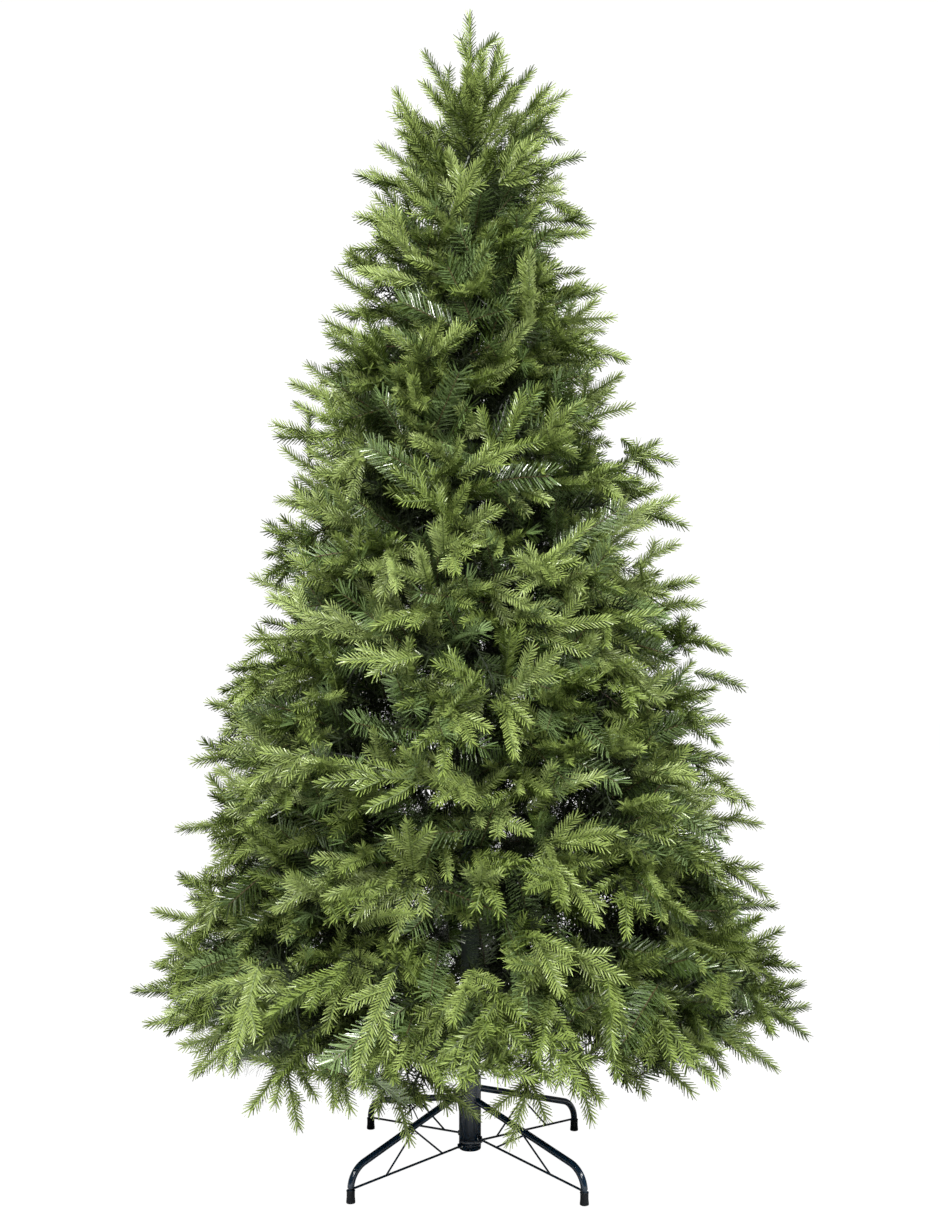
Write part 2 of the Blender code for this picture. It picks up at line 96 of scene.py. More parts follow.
def plasticMaterial(name, look):
    # A plastic or paint whose colour drifts between two tones in soft patches, with a fine grain in its gloss.
    # patchMm and grainMm are the real sizes of the patches and of the grain.
    material = bpy.data.materials.new(name)
    material.use_nodes = True
    tree = material.node_tree
    shader = tree.nodes["Principled BSDF"]
    place = addNode(tree, "ShaderNodeTexCoord")
    patches = addNode(tree, "ShaderNodeTexNoise", inputs={
        "Vector": (place, "Object"), "Scale": 1000 / look["patchMm"], "Detail": 3.0, "Roughness": 0.6})
    tones = addNode(tree, "ShaderNodeMix", {"data_type": "RGBA"}, {"Factor": (patches, "Fac")})
    tones.inputs[6].default_value = linearColour(look["dark"])
    tones.inputs[7].default_value = linearColour(look["light"])
    tree.links.new(tones.outputs[2], shader.inputs["Base Color"])
    grain = addNode(tree, "ShaderNodeTexNoise", inputs={
        "Vector": (place, "Object"), "Scale": 1000 / look["grainMm"], "Detail": 2.0})
    gloss = addNode(tree, "ShaderNodeMapRange", inputs={
        "Value": (grain, "Fac"), "From Min": 0.3, "From Max": 0.7,
        "To Min": look["roughness"][0], "To Max": look["roughness"][1]})
    tree.links.new(gloss.outputs["Result"], shader.inputs["Roughness"])
    if look.get("bumpMm"):
        relief = addNode(tree, "ShaderNodeBump", inputs={
            "Height": (grain, "Fac"), "Distance": look["bumpMm"] / 1000, "Strength": 1.0})
        tree.links.new(relief.outputs["Normal"], shader.inputs["Normal"])
    for label, key, usual in (("IOR", "ior", 1.5), ("Metallic", "metallic", 0.0), ("Coat Weight", "coat", 0.0),
                              ("Specular IOR Level", "specular", 0.5)):  # less specular where dust and depth dull it
        shader.inputs[label].default_value = look.get(key, usual)
    return material


def toneMaterials(name, look, tones):
    return [plasticMaterial(name + tone, {**look, **colours}) for tone, colours in tones.items()]


# Polyethylene, injection moulded: waxy and a little soft in its gloss, the same green all through.
# The sprigs take the first three tones. Shade is painted shade for the rows of needles that lie deeper in a shoot.
mouldedLook = {"patchMm": 7, "grainMm": 2.5, "roughness": (0.30, 0.46), "ior": 1.51}
mouldedTones = {
    "Light": {"dark": "#6d7c40", "light": "#909f65"},
    "Mid": {"dark": "#657536", "light": "#869556"},
    "Deep": {"dark": "#5d6e2f", "light": "#7e8f4b"},
    "Shade": {"dark": "#26320c", "light": "#3a4915", "specular": 0.3},
}
# Vinyl film, slit into strips and twisted into wire: thin, flat and glossy, so that strips glint.
# The film shoots take the first two tones, Shade is painted shade for the rows that lie deeper in a shoot, and the
# last tone is painted shade, dark all over, for the strips on twigs and boughs inside the crown.
filmLook = {"patchMm": 9, "grainMm": 3.0, "roughness": (0.20, 0.34), "ior": 1.54}
filmTones = {
    "Mid": {"dark": "#516437", "light": "#72865a"},
    "Deep": {"dark": "#3e4f2a", "light": "#586c40"},
    "Shade": {"dark": "#202c0c", "light": "#34441a", "specular": 0.3},
    "InnerShade": {"dark": "#141c09", "light": "#222d11", "roughness": (0.7, 0.85), "specular": 0.2},
}
mouldedMaterials = toneMaterials("mouldedPolyethylene", mouldedLook, mouldedTones)
filmMaterials = toneMaterials("slitVinylFilm", filmLook, filmTones)
# Steel wire, drawn, twisted and painted brown: it shows between the film needles
twistedWire = plasticMaterial("paintedTwistedWire", {
    "dark": "#33291a", "light": "#574427", "patchMm": 6, "grainMm": 1.2, "roughness": (0.45, 0.65)})
# Moulded stems of the polyethylene sprigs, green brown
mouldedStem = plasticMaterial("mouldedPolyethyleneStem", {
    "dark": "#45542a", "light": "#5f6f3a", "patchMm": 9, "grainMm": 1.5, "roughness": (0.5, 0.65), "ior": 1.51})
# Bough wire wrapped in green vinyl tape: turns of tape show as a fine unevenness
wrappedWire = plasticMaterial("vinylTapeWrap", {
    "dark": "#161d12", "light": "#252f1d", "patchMm": 14, "grainMm": 2.0, "roughness": (0.4, 0.6), "ior": 1.53,
    "bumpMm": 0.4})
# Powder coat on steel tube, baked: even, satin, with the slight orange peel of powder
greenPowderCoat = plasticMaterial("powderCoatedSteelGreen", {
    "dark": "#16241a", "light": "#1f3023", "patchMm": 60, "grainMm": 1.6, "roughness": (0.34, 0.44), "bumpMm": 0.03})
# Stove enamel on the stand's steel tube: blue black and glossy, with long clean highlights
blackEnamel = plasticMaterial("stoveEnamelBlack", {
    "dark": "#0c1e2e", "light": "#152d42", "patchMm": 60, "grainMm": 2.2, "roughness": (0.12, 0.20), "coat": 0.6,
    "specular": 0.35})
# Rubber caps, compression moulded: dark and dull. The socket's groove takes it too, as painted shade in the groove.
mouldedRubber = plasticMaterial("mouldedRubber", {
    "dark": "#0b0e13", "light": "#14181f", "patchMm": 5, "grainMm": 0.9, "roughness": (0.45, 0.65), "ior": 1.52,
    "bumpMm": 0.05, "specular": 0.25})
# Zinc plate on the rivets and the eye bolt: pale grey and bright
zincPlate = plasticMaterial("zincPlatedSteel", {
    "dark": "#a8abad", "light": "#c6c8c8", "patchMm": 4, "grainMm": 0.8, "roughness": (0.28, 0.40), "metallic": 1.0})
print("materials made")


# Meshes from arrays

def meshPiece(name, vertices, faces, materials, tones=None):
    # an object from a table of points and a table of triangles or quads, with a material number for each face
    vertices = np.asarray(vertices, np.float32).reshape(-1, 3)
    faces = np.asarray(faces, np.int32)
    corners = faces.shape[1]
    mesh = bpy.data.meshes.new(name)
    mesh.vertices.add(len(vertices))
    mesh.vertices.foreach_set("co", vertices.ravel())
    mesh.loops.add(faces.size)
    mesh.loops.foreach_set("vertex_index", faces.ravel())
    mesh.polygons.add(len(faces))
    mesh.polygons.foreach_set("loop_start", np.arange(0, faces.size, corners, dtype=np.int32))
    for material in materials:
        mesh.materials.append(material)
    if tones is not None:
        mesh.polygons.foreach_set("material_index", np.asarray(tones, np.int32))
    mesh.polygons.foreach_set("use_smooth", np.zeros(len(faces), bool))  # flat faces
    mesh.update(calc_edges=True)
    mesh.validate()
    obj = bpy.data.objects.new(name, mesh)
    bpy.context.scene.collection.objects.link(obj)
    return obj


def joinTables(parts):
    # several (vertices, faces) tables as one
    starts = np.cumsum([0] + [len(vertices) for vertices, _ in parts])
    vertices = np.concatenate([vertices for vertices, _ in parts])
    return vertices, np.concatenate([faces + start for (_, faces), start in zip(parts, starts)])


def tubeFaces(rings, sides, closed=False):
    # quads between rings of points, each ring joined to the next one, and the last to the first where it is closed
    ring, side = np.meshgrid(np.arange(rings - 1 + closed), np.arange(sides), indexing="ij")
    nextRing, nextSide = (ring + 1) % rings, (side + 1) % sides
    return np.stack([ring * sides + side, ring * sides + nextSide,
                     nextRing * sides + nextSide, nextRing * sides + side], axis=-1).reshape(-1, 4)


def circle(side, across, sides):
    # directions from the middle of each circle to its points: cos a * side + sin a * across
    angles = np.arange(sides) * 2 * np.pi / sides
    return np.cos(angles)[None, :, None] * side[:, None] + np.sin(angles)[None, :, None] * across[:, None]


def turnedShape(profile, sides):
    # A profile of (radius, height) turned round Z: x = r cos a, y = r sin a, z = h, closed where the radius is 0
    profile = np.asarray(profile, float)
    angles = np.arange(sides) * 2 * np.pi / sides
    vertices = polar(profile[:, None, 0], angles[None, :], profile[:, None, 1]).reshape(-1, 3)
    return vertices, tubeFaces(len(profile), sides)


def roundBar(path, radii, sides):
    # A circle carried along the path: point + radius * circle, closed at both ends
    path, radii = np.asarray(path, float), np.broadcast_to(radii, len(path)).astype(float)
    way = unit(np.gradient(path, axis=0))
    side = unit(np.cross(way, np.array([0.013, 0.021, 1.0])))
    across = np.cross(way, side)
    # each end gets a shrunken ring, which finishSmooth merges to a flat cap
    path = np.concatenate([path[:1], path, path[-1:]])
    side, across = (np.concatenate([v[:1], v, v[-1:]]) for v in (side, across))
    radii = np.concatenate([[1e-5], radii, [1e-5]])
    vertices = (path[:, None] + radii[:, None, None] * circle(side, across, sides)).reshape(-1, 3)
    return vertices, tubeFaces(len(path), sides)


def finishSmooth(obj, degrees):
    # merges the closed poles, turns faces outwards and keeps edges crisp that turn by more degrees than this
    bm = bmesh.new()
    bm.from_mesh(obj.data)
    bmesh.ops.remove_doubles(bm, verts=bm.verts, dist=3e-5)
    bmesh.ops.dissolve_degenerate(bm, edges=bm.edges, dist=1e-6)
    bmesh.ops.recalc_face_normals(bm, faces=bm.faces)
    bm.to_mesh(obj.data)
    bm.free()
    obj.data.shade_smooth()
    obj.data.set_sharp_from_angle(angle=math.radians(degrees))


# Camera, light and floor

cameraValues = {
    "place": (0.0, -2.85, 0.97), "lens": 46.37, "sensorWidth": 36,
    "horizonPixel": 631.4, "frameHeight": 1215,  # the row of the photo that is level with the camera
}
cameraData = bpy.data.cameras.new("camera")
cameraData.sensor_fit = "AUTO"
cameraData.sensor_width = cameraValues["sensorWidth"]
cameraData.lens = cameraValues["lens"]
cameraData.shift_y = cameraValues["horizonPixel"] / cameraValues["frameHeight"] - 0.5
camera = bpy.data.objects.new("camera", cameraData)
camera.location = cameraValues["place"]
camera.rotation_euler = (math.radians(90), 0, 0)
bpy.context.scene.collection.objects.link(camera)
bpy.context.scene.camera = camera
bpy.context.scene.view_settings.view_transform = "Standard"

studio = {
    "roomLight": 0.095,  # soft light from all round
    "softBoxes": [  # (place, size, watts)
        ((-2.2, -2.7, 3.6), 1.1, 345),
        ((2.4, -2.5, 3.4), 1.1, 275),
        ((0.0, -3.6, 2.3), 1.4, 66),
        ((0.0, 3.0, 3.4), 1.8, 110),
    ],
    "lampColour": (1.0, 0.99, 0.96), "aim": (0.0, 0.0, 0.95),
    "paper": 1.03,  # the white that the camera sees behind the tree
    "floorReach": 14.0,
    "floorPaint": 0.55,  # how much light the floor throws back onto the tree
    "floorGlow": 1.01, "floorShade": 0.03,  # the camera sees white paper, as in a cut-out photo, and hardly any shadow
}
for number, (place, size, watts) in enumerate(studio["softBoxes"]):
    lightData = bpy.data.lights.new(f"softBox{number}", "AREA")
    lightData.shape = "SQUARE"
    lightData.size = size
    lightData.energy = watts
    lightData.color = studio["lampColour"]
    light = bpy.data.objects.new(f"softBox{number}", lightData)
    light.location = place
    aim = np.array(studio["aim"]) - np.array(place)
    light.rotation_euler = (math.acos(-aim[2] / np.linalg.norm(aim)), 0, math.atan2(aim[1], aim[0]) - math.pi / 2)
    bpy.context.scene.collection.objects.link(light)


def grey(value):
    return (value, value, value, 1.0)


def splitRays(tree, output, others, camera):
    # the camera's rays meet one shader, and all other light meets the other
    rays = addNode(tree, "ShaderNodeLightPath")
    split = addNode(tree, "ShaderNodeMixShader", inputs={0: (rays, "Is Camera Ray"), 1: (others, 0), 2: (camera, 0)})
    addNode(tree, output, inputs={"Surface": (split, 0)})


world = bpy.data.worlds.new("studio")
bpy.context.scene.world = world
world.use_nodes = True
world.node_tree.nodes.clear()
room, paper = (addNode(world.node_tree, "ShaderNodeBackground", inputs={"Color": grey(1.0), "Strength": studio[name]})
               for name in ("roomLight", "paper"))
splitRays(world.node_tree, "ShaderNodeOutputWorld", room, paper)

floorMaterial = bpy.data.materials.new("whiteStudioFloor")
floorMaterial.use_nodes = True
floorTree = floorMaterial.node_tree
floorTree.nodes.clear()
paint, shade = (addNode(floorTree, "ShaderNodeBsdfDiffuse", inputs={"Color": grey(studio[name])})
                for name in ("floorPaint", "floorShade"))
glow = addNode(floorTree, "ShaderNodeEmission", inputs={"Color": grey(1.0), "Strength": studio["floorGlow"]})
whitePaper = addNode(floorTree, "ShaderNodeAddShader", inputs={0: (shade, 0), 1: (glow, 0)})
splitRays(floorTree, "ShaderNodeOutputMaterial", paint, whitePaper)
floorCorners = np.array([(-1, -1, 0), (1, -1, 0), (1, 1, 0), (-1, 1, 0)]) * studio["floorReach"]
floor = meshPiece("studioFloor", floorCorners, [(0, 1, 2, 3)], [floorMaterial])
print("studio ready")


# The crown's form: the same rule as in the part's source

crown = {
    "skirtZ": 0.28, "skirtRadius": 0.618,  # the widest ring of tips
    "shoulderZ": 1.95, "shoulderRadius": 0.165, "outlinePower": 0.97, "undersideSlope": 1.0,
    "cellsInTier": np.array([8, 7, 6, 6, 5, 4, 4, 3]),
    "poleZ": (0.215, 1.80), "rimZ": (0.205, 1.97),  # lowest and highest tier surface at the pole and at the rim
    "waveHeight": 0.026, "waveCount": 4, "waveShift": 2.1, "archHeight": 0.050,
}
pole = {"radii": (0.016, 0.014, 0.011), "steps": (0.0318, 0.85, 1.42, 1.7997), "ringLip": 0.005, "ringHeight": 0.016,
        "sides": 64, "bevel": 0.0006, "topBevel": 0.0012, "rounding": 0.0004, "flange": 0.0020}
tierCount = len(crown["cellsInTier"])
cellTier = np.repeat(np.arange(tierCount), crown["cellsInTier"])
cellNumber = np.concatenate([np.arange(count) for count in crown["cellsInTier"]])
cellHalf = np.pi / crown["cellsInTier"][cellTier]
cellMiddle = (cellNumber + 0.5 * (cellTier % 2) + 0.21 * cellTier) * 2 * cellHalf


def crownRadius(height):
    # how far the tips reach from the pole at this height
    under = crown["skirtRadius"] - crown["undersideSlope"] * (crown["skirtZ"] - height)
    share = np.clip((crown["shoulderZ"] - height) / (crown["shoulderZ"] - crown["skirtZ"]), 0, None)
    above = mix(crown["shoulderRadius"], crown["skirtRadius"], share ** crown["outlinePower"])
    return np.where(height < crown["skirtZ"], under, above)


# The outline isn't even: it swells and sinks here and there, as (height, direction in degrees, metres outwards).
# The first rows are read off the two sides of the photo, and the seeded rest carry the same unevenness round the tree.
swells = [
    (1.38, 180, 0.045), (1.26, 180, -0.035), (1.03, 180, -0.045), (0.94, 180, -0.020), (0.83, 180, 0.035),
    (1.76, 180, -0.030), (0.20, 180, -0.045), (1.90, 180, -0.030), (1.44, 0, -0.045), (1.34, 0, -0.050),
    (1.25, 0, 0.035), (1.10, 0, -0.030), (0.93, 0, 0.045), (0.84, 0, 0.035), (0.75, 0, -0.040), (1.76, 0, -0.020),
    (0.27, 208, -0.050), (0.25, 232, -0.030), (0.34, 205, -0.030), (0.24, 318, -0.030),
    (1.97, 180, -0.055), (0.60, 0, -0.025), (0.50, 0, -0.020), (0.40, 0, -0.020), (0.32, 0, -0.020),
]
unevenness = {
    "seed": 7, "count": 90, "heights": (0.25, 1.75), "angles": (50, 130), "most": 0.045,  # the seeded rows
    "nearHeight": 0.045, "nearTurn": 0.45,  # how far a row counts, in metres up and down and in radians round the tree
    "skirtDraw": 0.065, "flankDraw": 0.028,  # metres by which the lowest sprays and both flanks draw in
}
swellDraw = np.random.default_rng(unevenness["seed"])
seededHeights = swellDraw.uniform(*unevenness["heights"], unevenness["count"])
seededSides = 180 * swellDraw.integers(0, 2, unevenness["count"])
seededAngles = seededSides + swellDraw.uniform(*unevenness["angles"], unevenness["count"])
seededOuts = swellDraw.uniform(-unevenness["most"], unevenness["most"], unevenness["count"])
swellHeight, swellAngle, swellOut = np.array([*swells, *zip(seededHeights, seededAngles, seededOuts)]).T


def swell(height, angle):
    # metres outwards: a sum of bumps, each exp(-(height / near)^2 - (turn / near)^2) times its row's metres
    height, angle = np.broadcast_arrays(height, angle)
    turn = np.remainder(angle[..., None] - np.radians(swellAngle) + np.pi, 2 * np.pi) - np.pi
    near = np.exp(-((height[..., None] - swellHeight) / unevenness["nearHeight"]) ** 2
                  - (turn / unevenness["nearTurn"]) ** 2)
    underSkirt = unevenness["skirtDraw"] * np.clip((0.29 - height) / 0.09, 0, 1)
    # both flanks draw in behind the sprigs that are placed there one by one
    aside = np.exp(-((np.abs(np.cos(angle)) - 1) / 0.09) ** 2) * np.clip((height - 0.30) / 0.1, 0, 1)
    flank = unevenness["flankDraw"] * aside * np.clip((1.85 - height) / 0.1, 0, 1)
    return (near * swellOut).sum(axis=-1) - underSkirt - flank


def tierSurface(below, distance, angle):
    # height of the wavy surface under a tier
    share = below / tierCount
    poleZ, rimZ = mix(*crown["poleZ"], share), mix(*crown["rimZ"], share)
    outwards = distance / crownRadius(rimZ)
    inwards = np.minimum(outwards, 1)
    wave = crown["waveHeight"] * (1 - share) * inwards * np.sin(crown["waveCount"] * angle + crown["waveShift"] * below)
    arch = crown["archHeight"] * 4 * share * (1 - share) * np.sin(np.pi * inwards)
    return mix(poleZ, rimZ, outwards) + wave + arch


def cellPoint(cell, distance, turn, level):
    # turn runs from -1 to 1 across the cell, and level from 0 at its bottom to 1
    angle = cellMiddle[cell] + turn * cellHalf[cell]
    low, high = (tierSurface(cellTier[cell] + side, distance, angle) for side in (0, 1))
    return polar(distance, angle, mix(low, high, level))


def cellRim(cell, turn, level, inside):
    # the point where the cell meets the crown's outline, or a surface that lies this far inside it
    distance = np.full(np.shape(cell), crown["skirtRadius"])
    angle = cellMiddle[cell] + turn * cellHalf[cell]
    for _ in range(8):
        height = cellPoint(cell, distance, turn, level)[..., 2]
        distance = np.maximum(crownRadius(height) + swell(height, angle) - inside, 0.02)
    return cellPoint(cell, distance, turn, level)


def stemHeight(tier):
    return mix(*crown["poleZ"], (tier + 0.5) / tierCount)


def poleRadius(height):
    return np.select([height < top for top in pole["steps"][1:]], pole["radii"], pole["radii"][-1])


# Growth: boughs from the pole, twigs from the boughs, and sprays on the twigs

growth = {
    "seed": 24,
    "riseShares": (0.0, 0.2, 0.6, 0.85, 1.0), "rise": (-4.0, 8.0, 15.0, 24.0, 40.0),  # degrees above level, by height
    "openSideways": 58.0, "openUpright": 48.0,  # degrees by which a spray may turn away from straight outwards
    "openAtTop": 0.55,  # the share of that at the top
    "thinnedAtTop": 0.35,  # the share of the sprays that the top goes without
    "lowestZ": 0.262, "frontRise": 0.06,  # how low a tip may hang, and how much less low over the stand's front
    "pastOutline": 0.012,  # how far a tip may stand past the outline
}
# Two kinds of shoots: moulded sprigs over the crown's outside, and film shoots, which stand a little deeper.
# perM2: their number on a square metre. depth: how deep the tips stand inside the outline. length: at the skirt and at
# the top, times a number from spread. roll: how far their planes turn, in radians. tones: the shares of their greens.
mouldedSprig = {
    "perM2": 195, "shift": 0.5, "depth": (0.006, 0.120), "length": (0.155, 0.135), "spread": (0.70, 1.2),
    "droop": 0.12, "roll": 0.45, "sag": (-0.02, 0.10), "tones": (0.26, 0.44, 0.30)}
filmShoot = {
    "perM2": 175, "shift": 0.31, "depth": (0.050, 0.17), "length": (0.15, 0.12), "spread": (0.8, 1.2),
    "droop": 0.06, "roll": 0.6, "sag": (-0.02, 0.08), "tones": (0.55, 0.45),
    "keptUnder": 0.25, "underLevel": 0.42}  # few of them are kept on the underside of the skirt's front
draw = np.random.default_rng(growth["seed"])


def curvePoint(curves, owner, share):
    # quadratic curve: (1 - s)^2 start + 2 s (1 - s) bend + s^2 end
    s = share[:, None]
    return ((1 - s) ** 2 * curves["start"][owner] + 2 * s * (1 - s) * curves["bend"][owner]
            + s ** 2 * curves["end"][owner])


def curveWay(curves, owner, share):
    # its direction: (1 - s) (bend - start) + s (end - bend)
    s = share[:, None]
    return unit((1 - s) * (curves["bend"] - curves["start"])[owner] + s * (curves["end"] - curves["bend"])[owner])


def curveLength(curves):
    # close to its length: two thirds of the straight line and a third of the way by the bend
    straight = np.linalg.norm(curves["end"] - curves["start"], axis=1)
    byBend = (np.linalg.norm(curves["bend"] - curves["start"], axis=1)
              + np.linalg.norm(curves["end"] - curves["bend"], axis=1))
    return (2 * straight + byBend) / 3


def joinCurves(*groups):
    return {key: np.concatenate([group[key] for group in groups]) for key in groups[0]}


def spreadTips(form):
    # Evenly spread tips over the outside of each cell: the next one is a golden share across and a step higher.
    allCells = np.arange(len(cellTier))
    reach = fromPole(cellRim(allCells, 0, 0.5, 0))
    tall = (cellPoint(allCells, reach, 0, 1) - cellPoint(allCells, reach, 0, 0))[:, 2]
    thinned = 1 - growth["thinnedAtTop"] * (cellTier / (tierCount - 1)) ** 5
    counts = np.round(2 * cellHalf * reach * tall * 1.04 * form["perM2"] * thinned).astype(int)
    cell, rank = numberOff(counts)
    turn = 1.9 * ((form["shift"] + 0.618034 * rank) % 1) - 0.95
    level = mix(0.03, 0.97, ((rank + 0.5) / counts[cell] + form["shift"]) % 1)
    inside = mix(*form["depth"], draw.random(len(cell)) ** 1.2)
    return cell, turn, level, cellRim(cell, turn, level, inside)


def tipWays(cell, turn, level, tips, length, droop):
    # Directions of the tips: outwards, risen by height, and opened from there by any angle up to the most, evenly over
    # an oval cap of a sphere. More point down than up, most at the skirt, and none starts below the skirt.
    tierShare = (cellTier[cell] + level - 0.5) / (tierCount - 1)
    heading = cellMiddle[cell] + turn * cellHalf[cell] * 1.1
    rise = np.radians(np.interp(tierShare, growth["riseShares"], growth["rise"]))
    out = polar(np.cos(rise), heading, np.sin(rise))
    side = polar(1.0, heading + np.pi / 2, 0.0)
    up = np.cross(out, side)
    roll = draw.uniform(0, 2 * np.pi, len(cell))
    most = np.radians(1 / np.hypot(np.cos(roll) / growth["openSideways"], np.sin(roll) / growth["openUpright"]))
    most *= mix(1, growth["openAtTop"], np.clip(tierShare, 0, 1) ** 2)
    opened = np.arccos(mix(1, np.cos(most), draw.random(len(cell))))[:, None]
    roll = roll[:, None]
    way = np.cos(opened) * out + np.sin(opened) * (np.cos(roll) * side + np.sin(roll) * up)
    way = unit(way - upright * (droop * (1 - tierShare))[:, None])
    rootHeight = tips[:, 2] - way[:, 2] * length
    way[:, 2] = np.where(rootHeight < tierSurface(0, 0.45, heading) + 0.02, -np.abs(way[:, 2]), way[:, 2])
    return way, out


def aimShoots(form, cell, turn, level, tips):
    # the shoots' lengths and directions, the crown's outward direction there, and their roots
    length = mix(*form["length"], cellTier[cell] / (tierCount - 1)) * draw.uniform(*form["spread"], len(cell))
    ways, out = tipWays(cell, turn, level, tips, length, form["droop"])
    return length, ways, out, tips - ways * length[:, None]


def shootCurves(cell, roots, tips, sag, flat):
    # curves from root to tip that rise by sag in the middle
    bend = (roots + tips) / 2 + upright * sag[:, None]
    return {"start": roots, "bend": bend, "end": tips, "tier": cellTier[cell], "flat": flat, "low": lowestAt(tips)}


def outlineAt(point):
    # the most that a point may stand from the pole, by its height and direction
    angle = np.arctan2(point[:, 1], point[:, 0])
    return crownRadius(point[:, 2]) + swell(point[:, 2], angle) + growth["pastOutline"]


def lowestAt(tips):
    # how low a tip may hang: over the stand's front it stays higher, and there the placed sprigs hang clear
    front = np.exp(-(tips[:, 0] / 0.30) ** 2) * np.clip(-tips[:, 1] / 0.25, 0, 1)
    return growth["lowestZ"] + growth["frontRise"] * front


def keepInside(curves):
    # Moves a shoot inwards as a whole where its tip would leave the crown's outline, and up where it hangs too low.
    point = curves["end"]
    reach = fromPole(point)[:, None]
    inwards = -point[:, :2] / reach * np.maximum(reach - outlineAt(point)[:, None], 0)
    upwards = np.maximum(curves["low"] - point[:, 2], 0)
    for key in ("start", "bend", "end"):
        curves[key] = curves[key] + np.column_stack([inwards, upwards])
    return curves


def shorten(curves):
    # Shortens a side shoot until its tip is inside the outline and above its lowest height.
    for _ in range(4):
        point = curves["end"]
        over = (fromPole(point) > outlineAt(point)) | (point[:, 2] < curves["low"])
        for key in ("bend", "end"):
            curves[key] = np.where(over[:, None], mix(curves["start"], curves[key], 0.78), curves[key])
    return curves


# Boughs: two to a cell, from the ring on the pole to near the rim
bough = {"turn": 0.48, "stray": 0.08, "level": 0.10, "apart": 0.004, "inside": 0.11, "rise": 0.02}
cells = np.repeat(np.arange(len(cellTier)), 2)
sides = np.tile([-1, 1], len(cellTier))
boughTurn = bough["turn"] * sides + draw.uniform(-bough["stray"], bough["stray"], len(cells))
boughLevel = 0.5 + bough["level"] * sides
boughAngle = cellMiddle[cells] + boughTurn * cellHalf[cells]
ringZ = stemHeight(cellTier[cells])
boughs = {
    "start": polar(poleRadius(ringZ) + pole["ringLip"] * 0.6, boughAngle, ringZ + bough["apart"] * sides),
    "end": cellRim(cells, boughTurn, boughLevel, bough["inside"]),
    "tier": cellTier[cells],
    "flat": np.tile(upright, (len(cells), 1)),
}
boughReach = fromPole(boughs["end"])
boughs["bend"] = cellPoint(cells, 0.5 * boughReach, boughTurn, boughLevel) + bough["rise"] * upright
twig = {"lean": 0.8, "inwards": 0.05, "shares": (0.10, 0.97), "bend": 0.40, "inside": 0.07}


def twigsTo(cell, turn, roots, ways):
    # A twig leaves the nearer bough of its cell inwards of its own root, and arrives along the spray's direction.
    nearer = 2 * cell + (turn > 0)
    rootReach = fromPole(roots)
    aside = np.abs(turn - boughTurn[nearer]) * cellHalf[cell] * rootReach
    share = np.clip((rootReach - twig["lean"] * aside - twig["inwards"]) / boughReach[nearer], *twig["shares"])
    start = curvePoint(boughs, nearer, share)
    gap = np.linalg.norm(roots - start, axis=1, keepdims=True)
    bend = roots - ways * gap * twig["bend"]
    most = np.maximum(outlineAt(bend) - twig["inside"], 0.03)
    bend[:, :2] *= np.minimum(1, most / fromPole(bend))[:, None]
    return {"start": start, "bend": bend, "end": roots, "tier": cellTier[cell],
            "flat": unit(np.cross(ways, roots - start) + 1e-4)}


def flatOf(ways, out, roll):
    # The normal of a spray's plane: it faces up and out of the crown, rolled about the spray's direction.
    up = out + 0.55 * upright
    up = unit(up - (up * ways).sum(axis=1, keepdims=True) * ways)
    side = np.cross(up, ways)
    return unit(np.cos(roll)[:, None] * up + np.sin(roll)[:, None] * side)


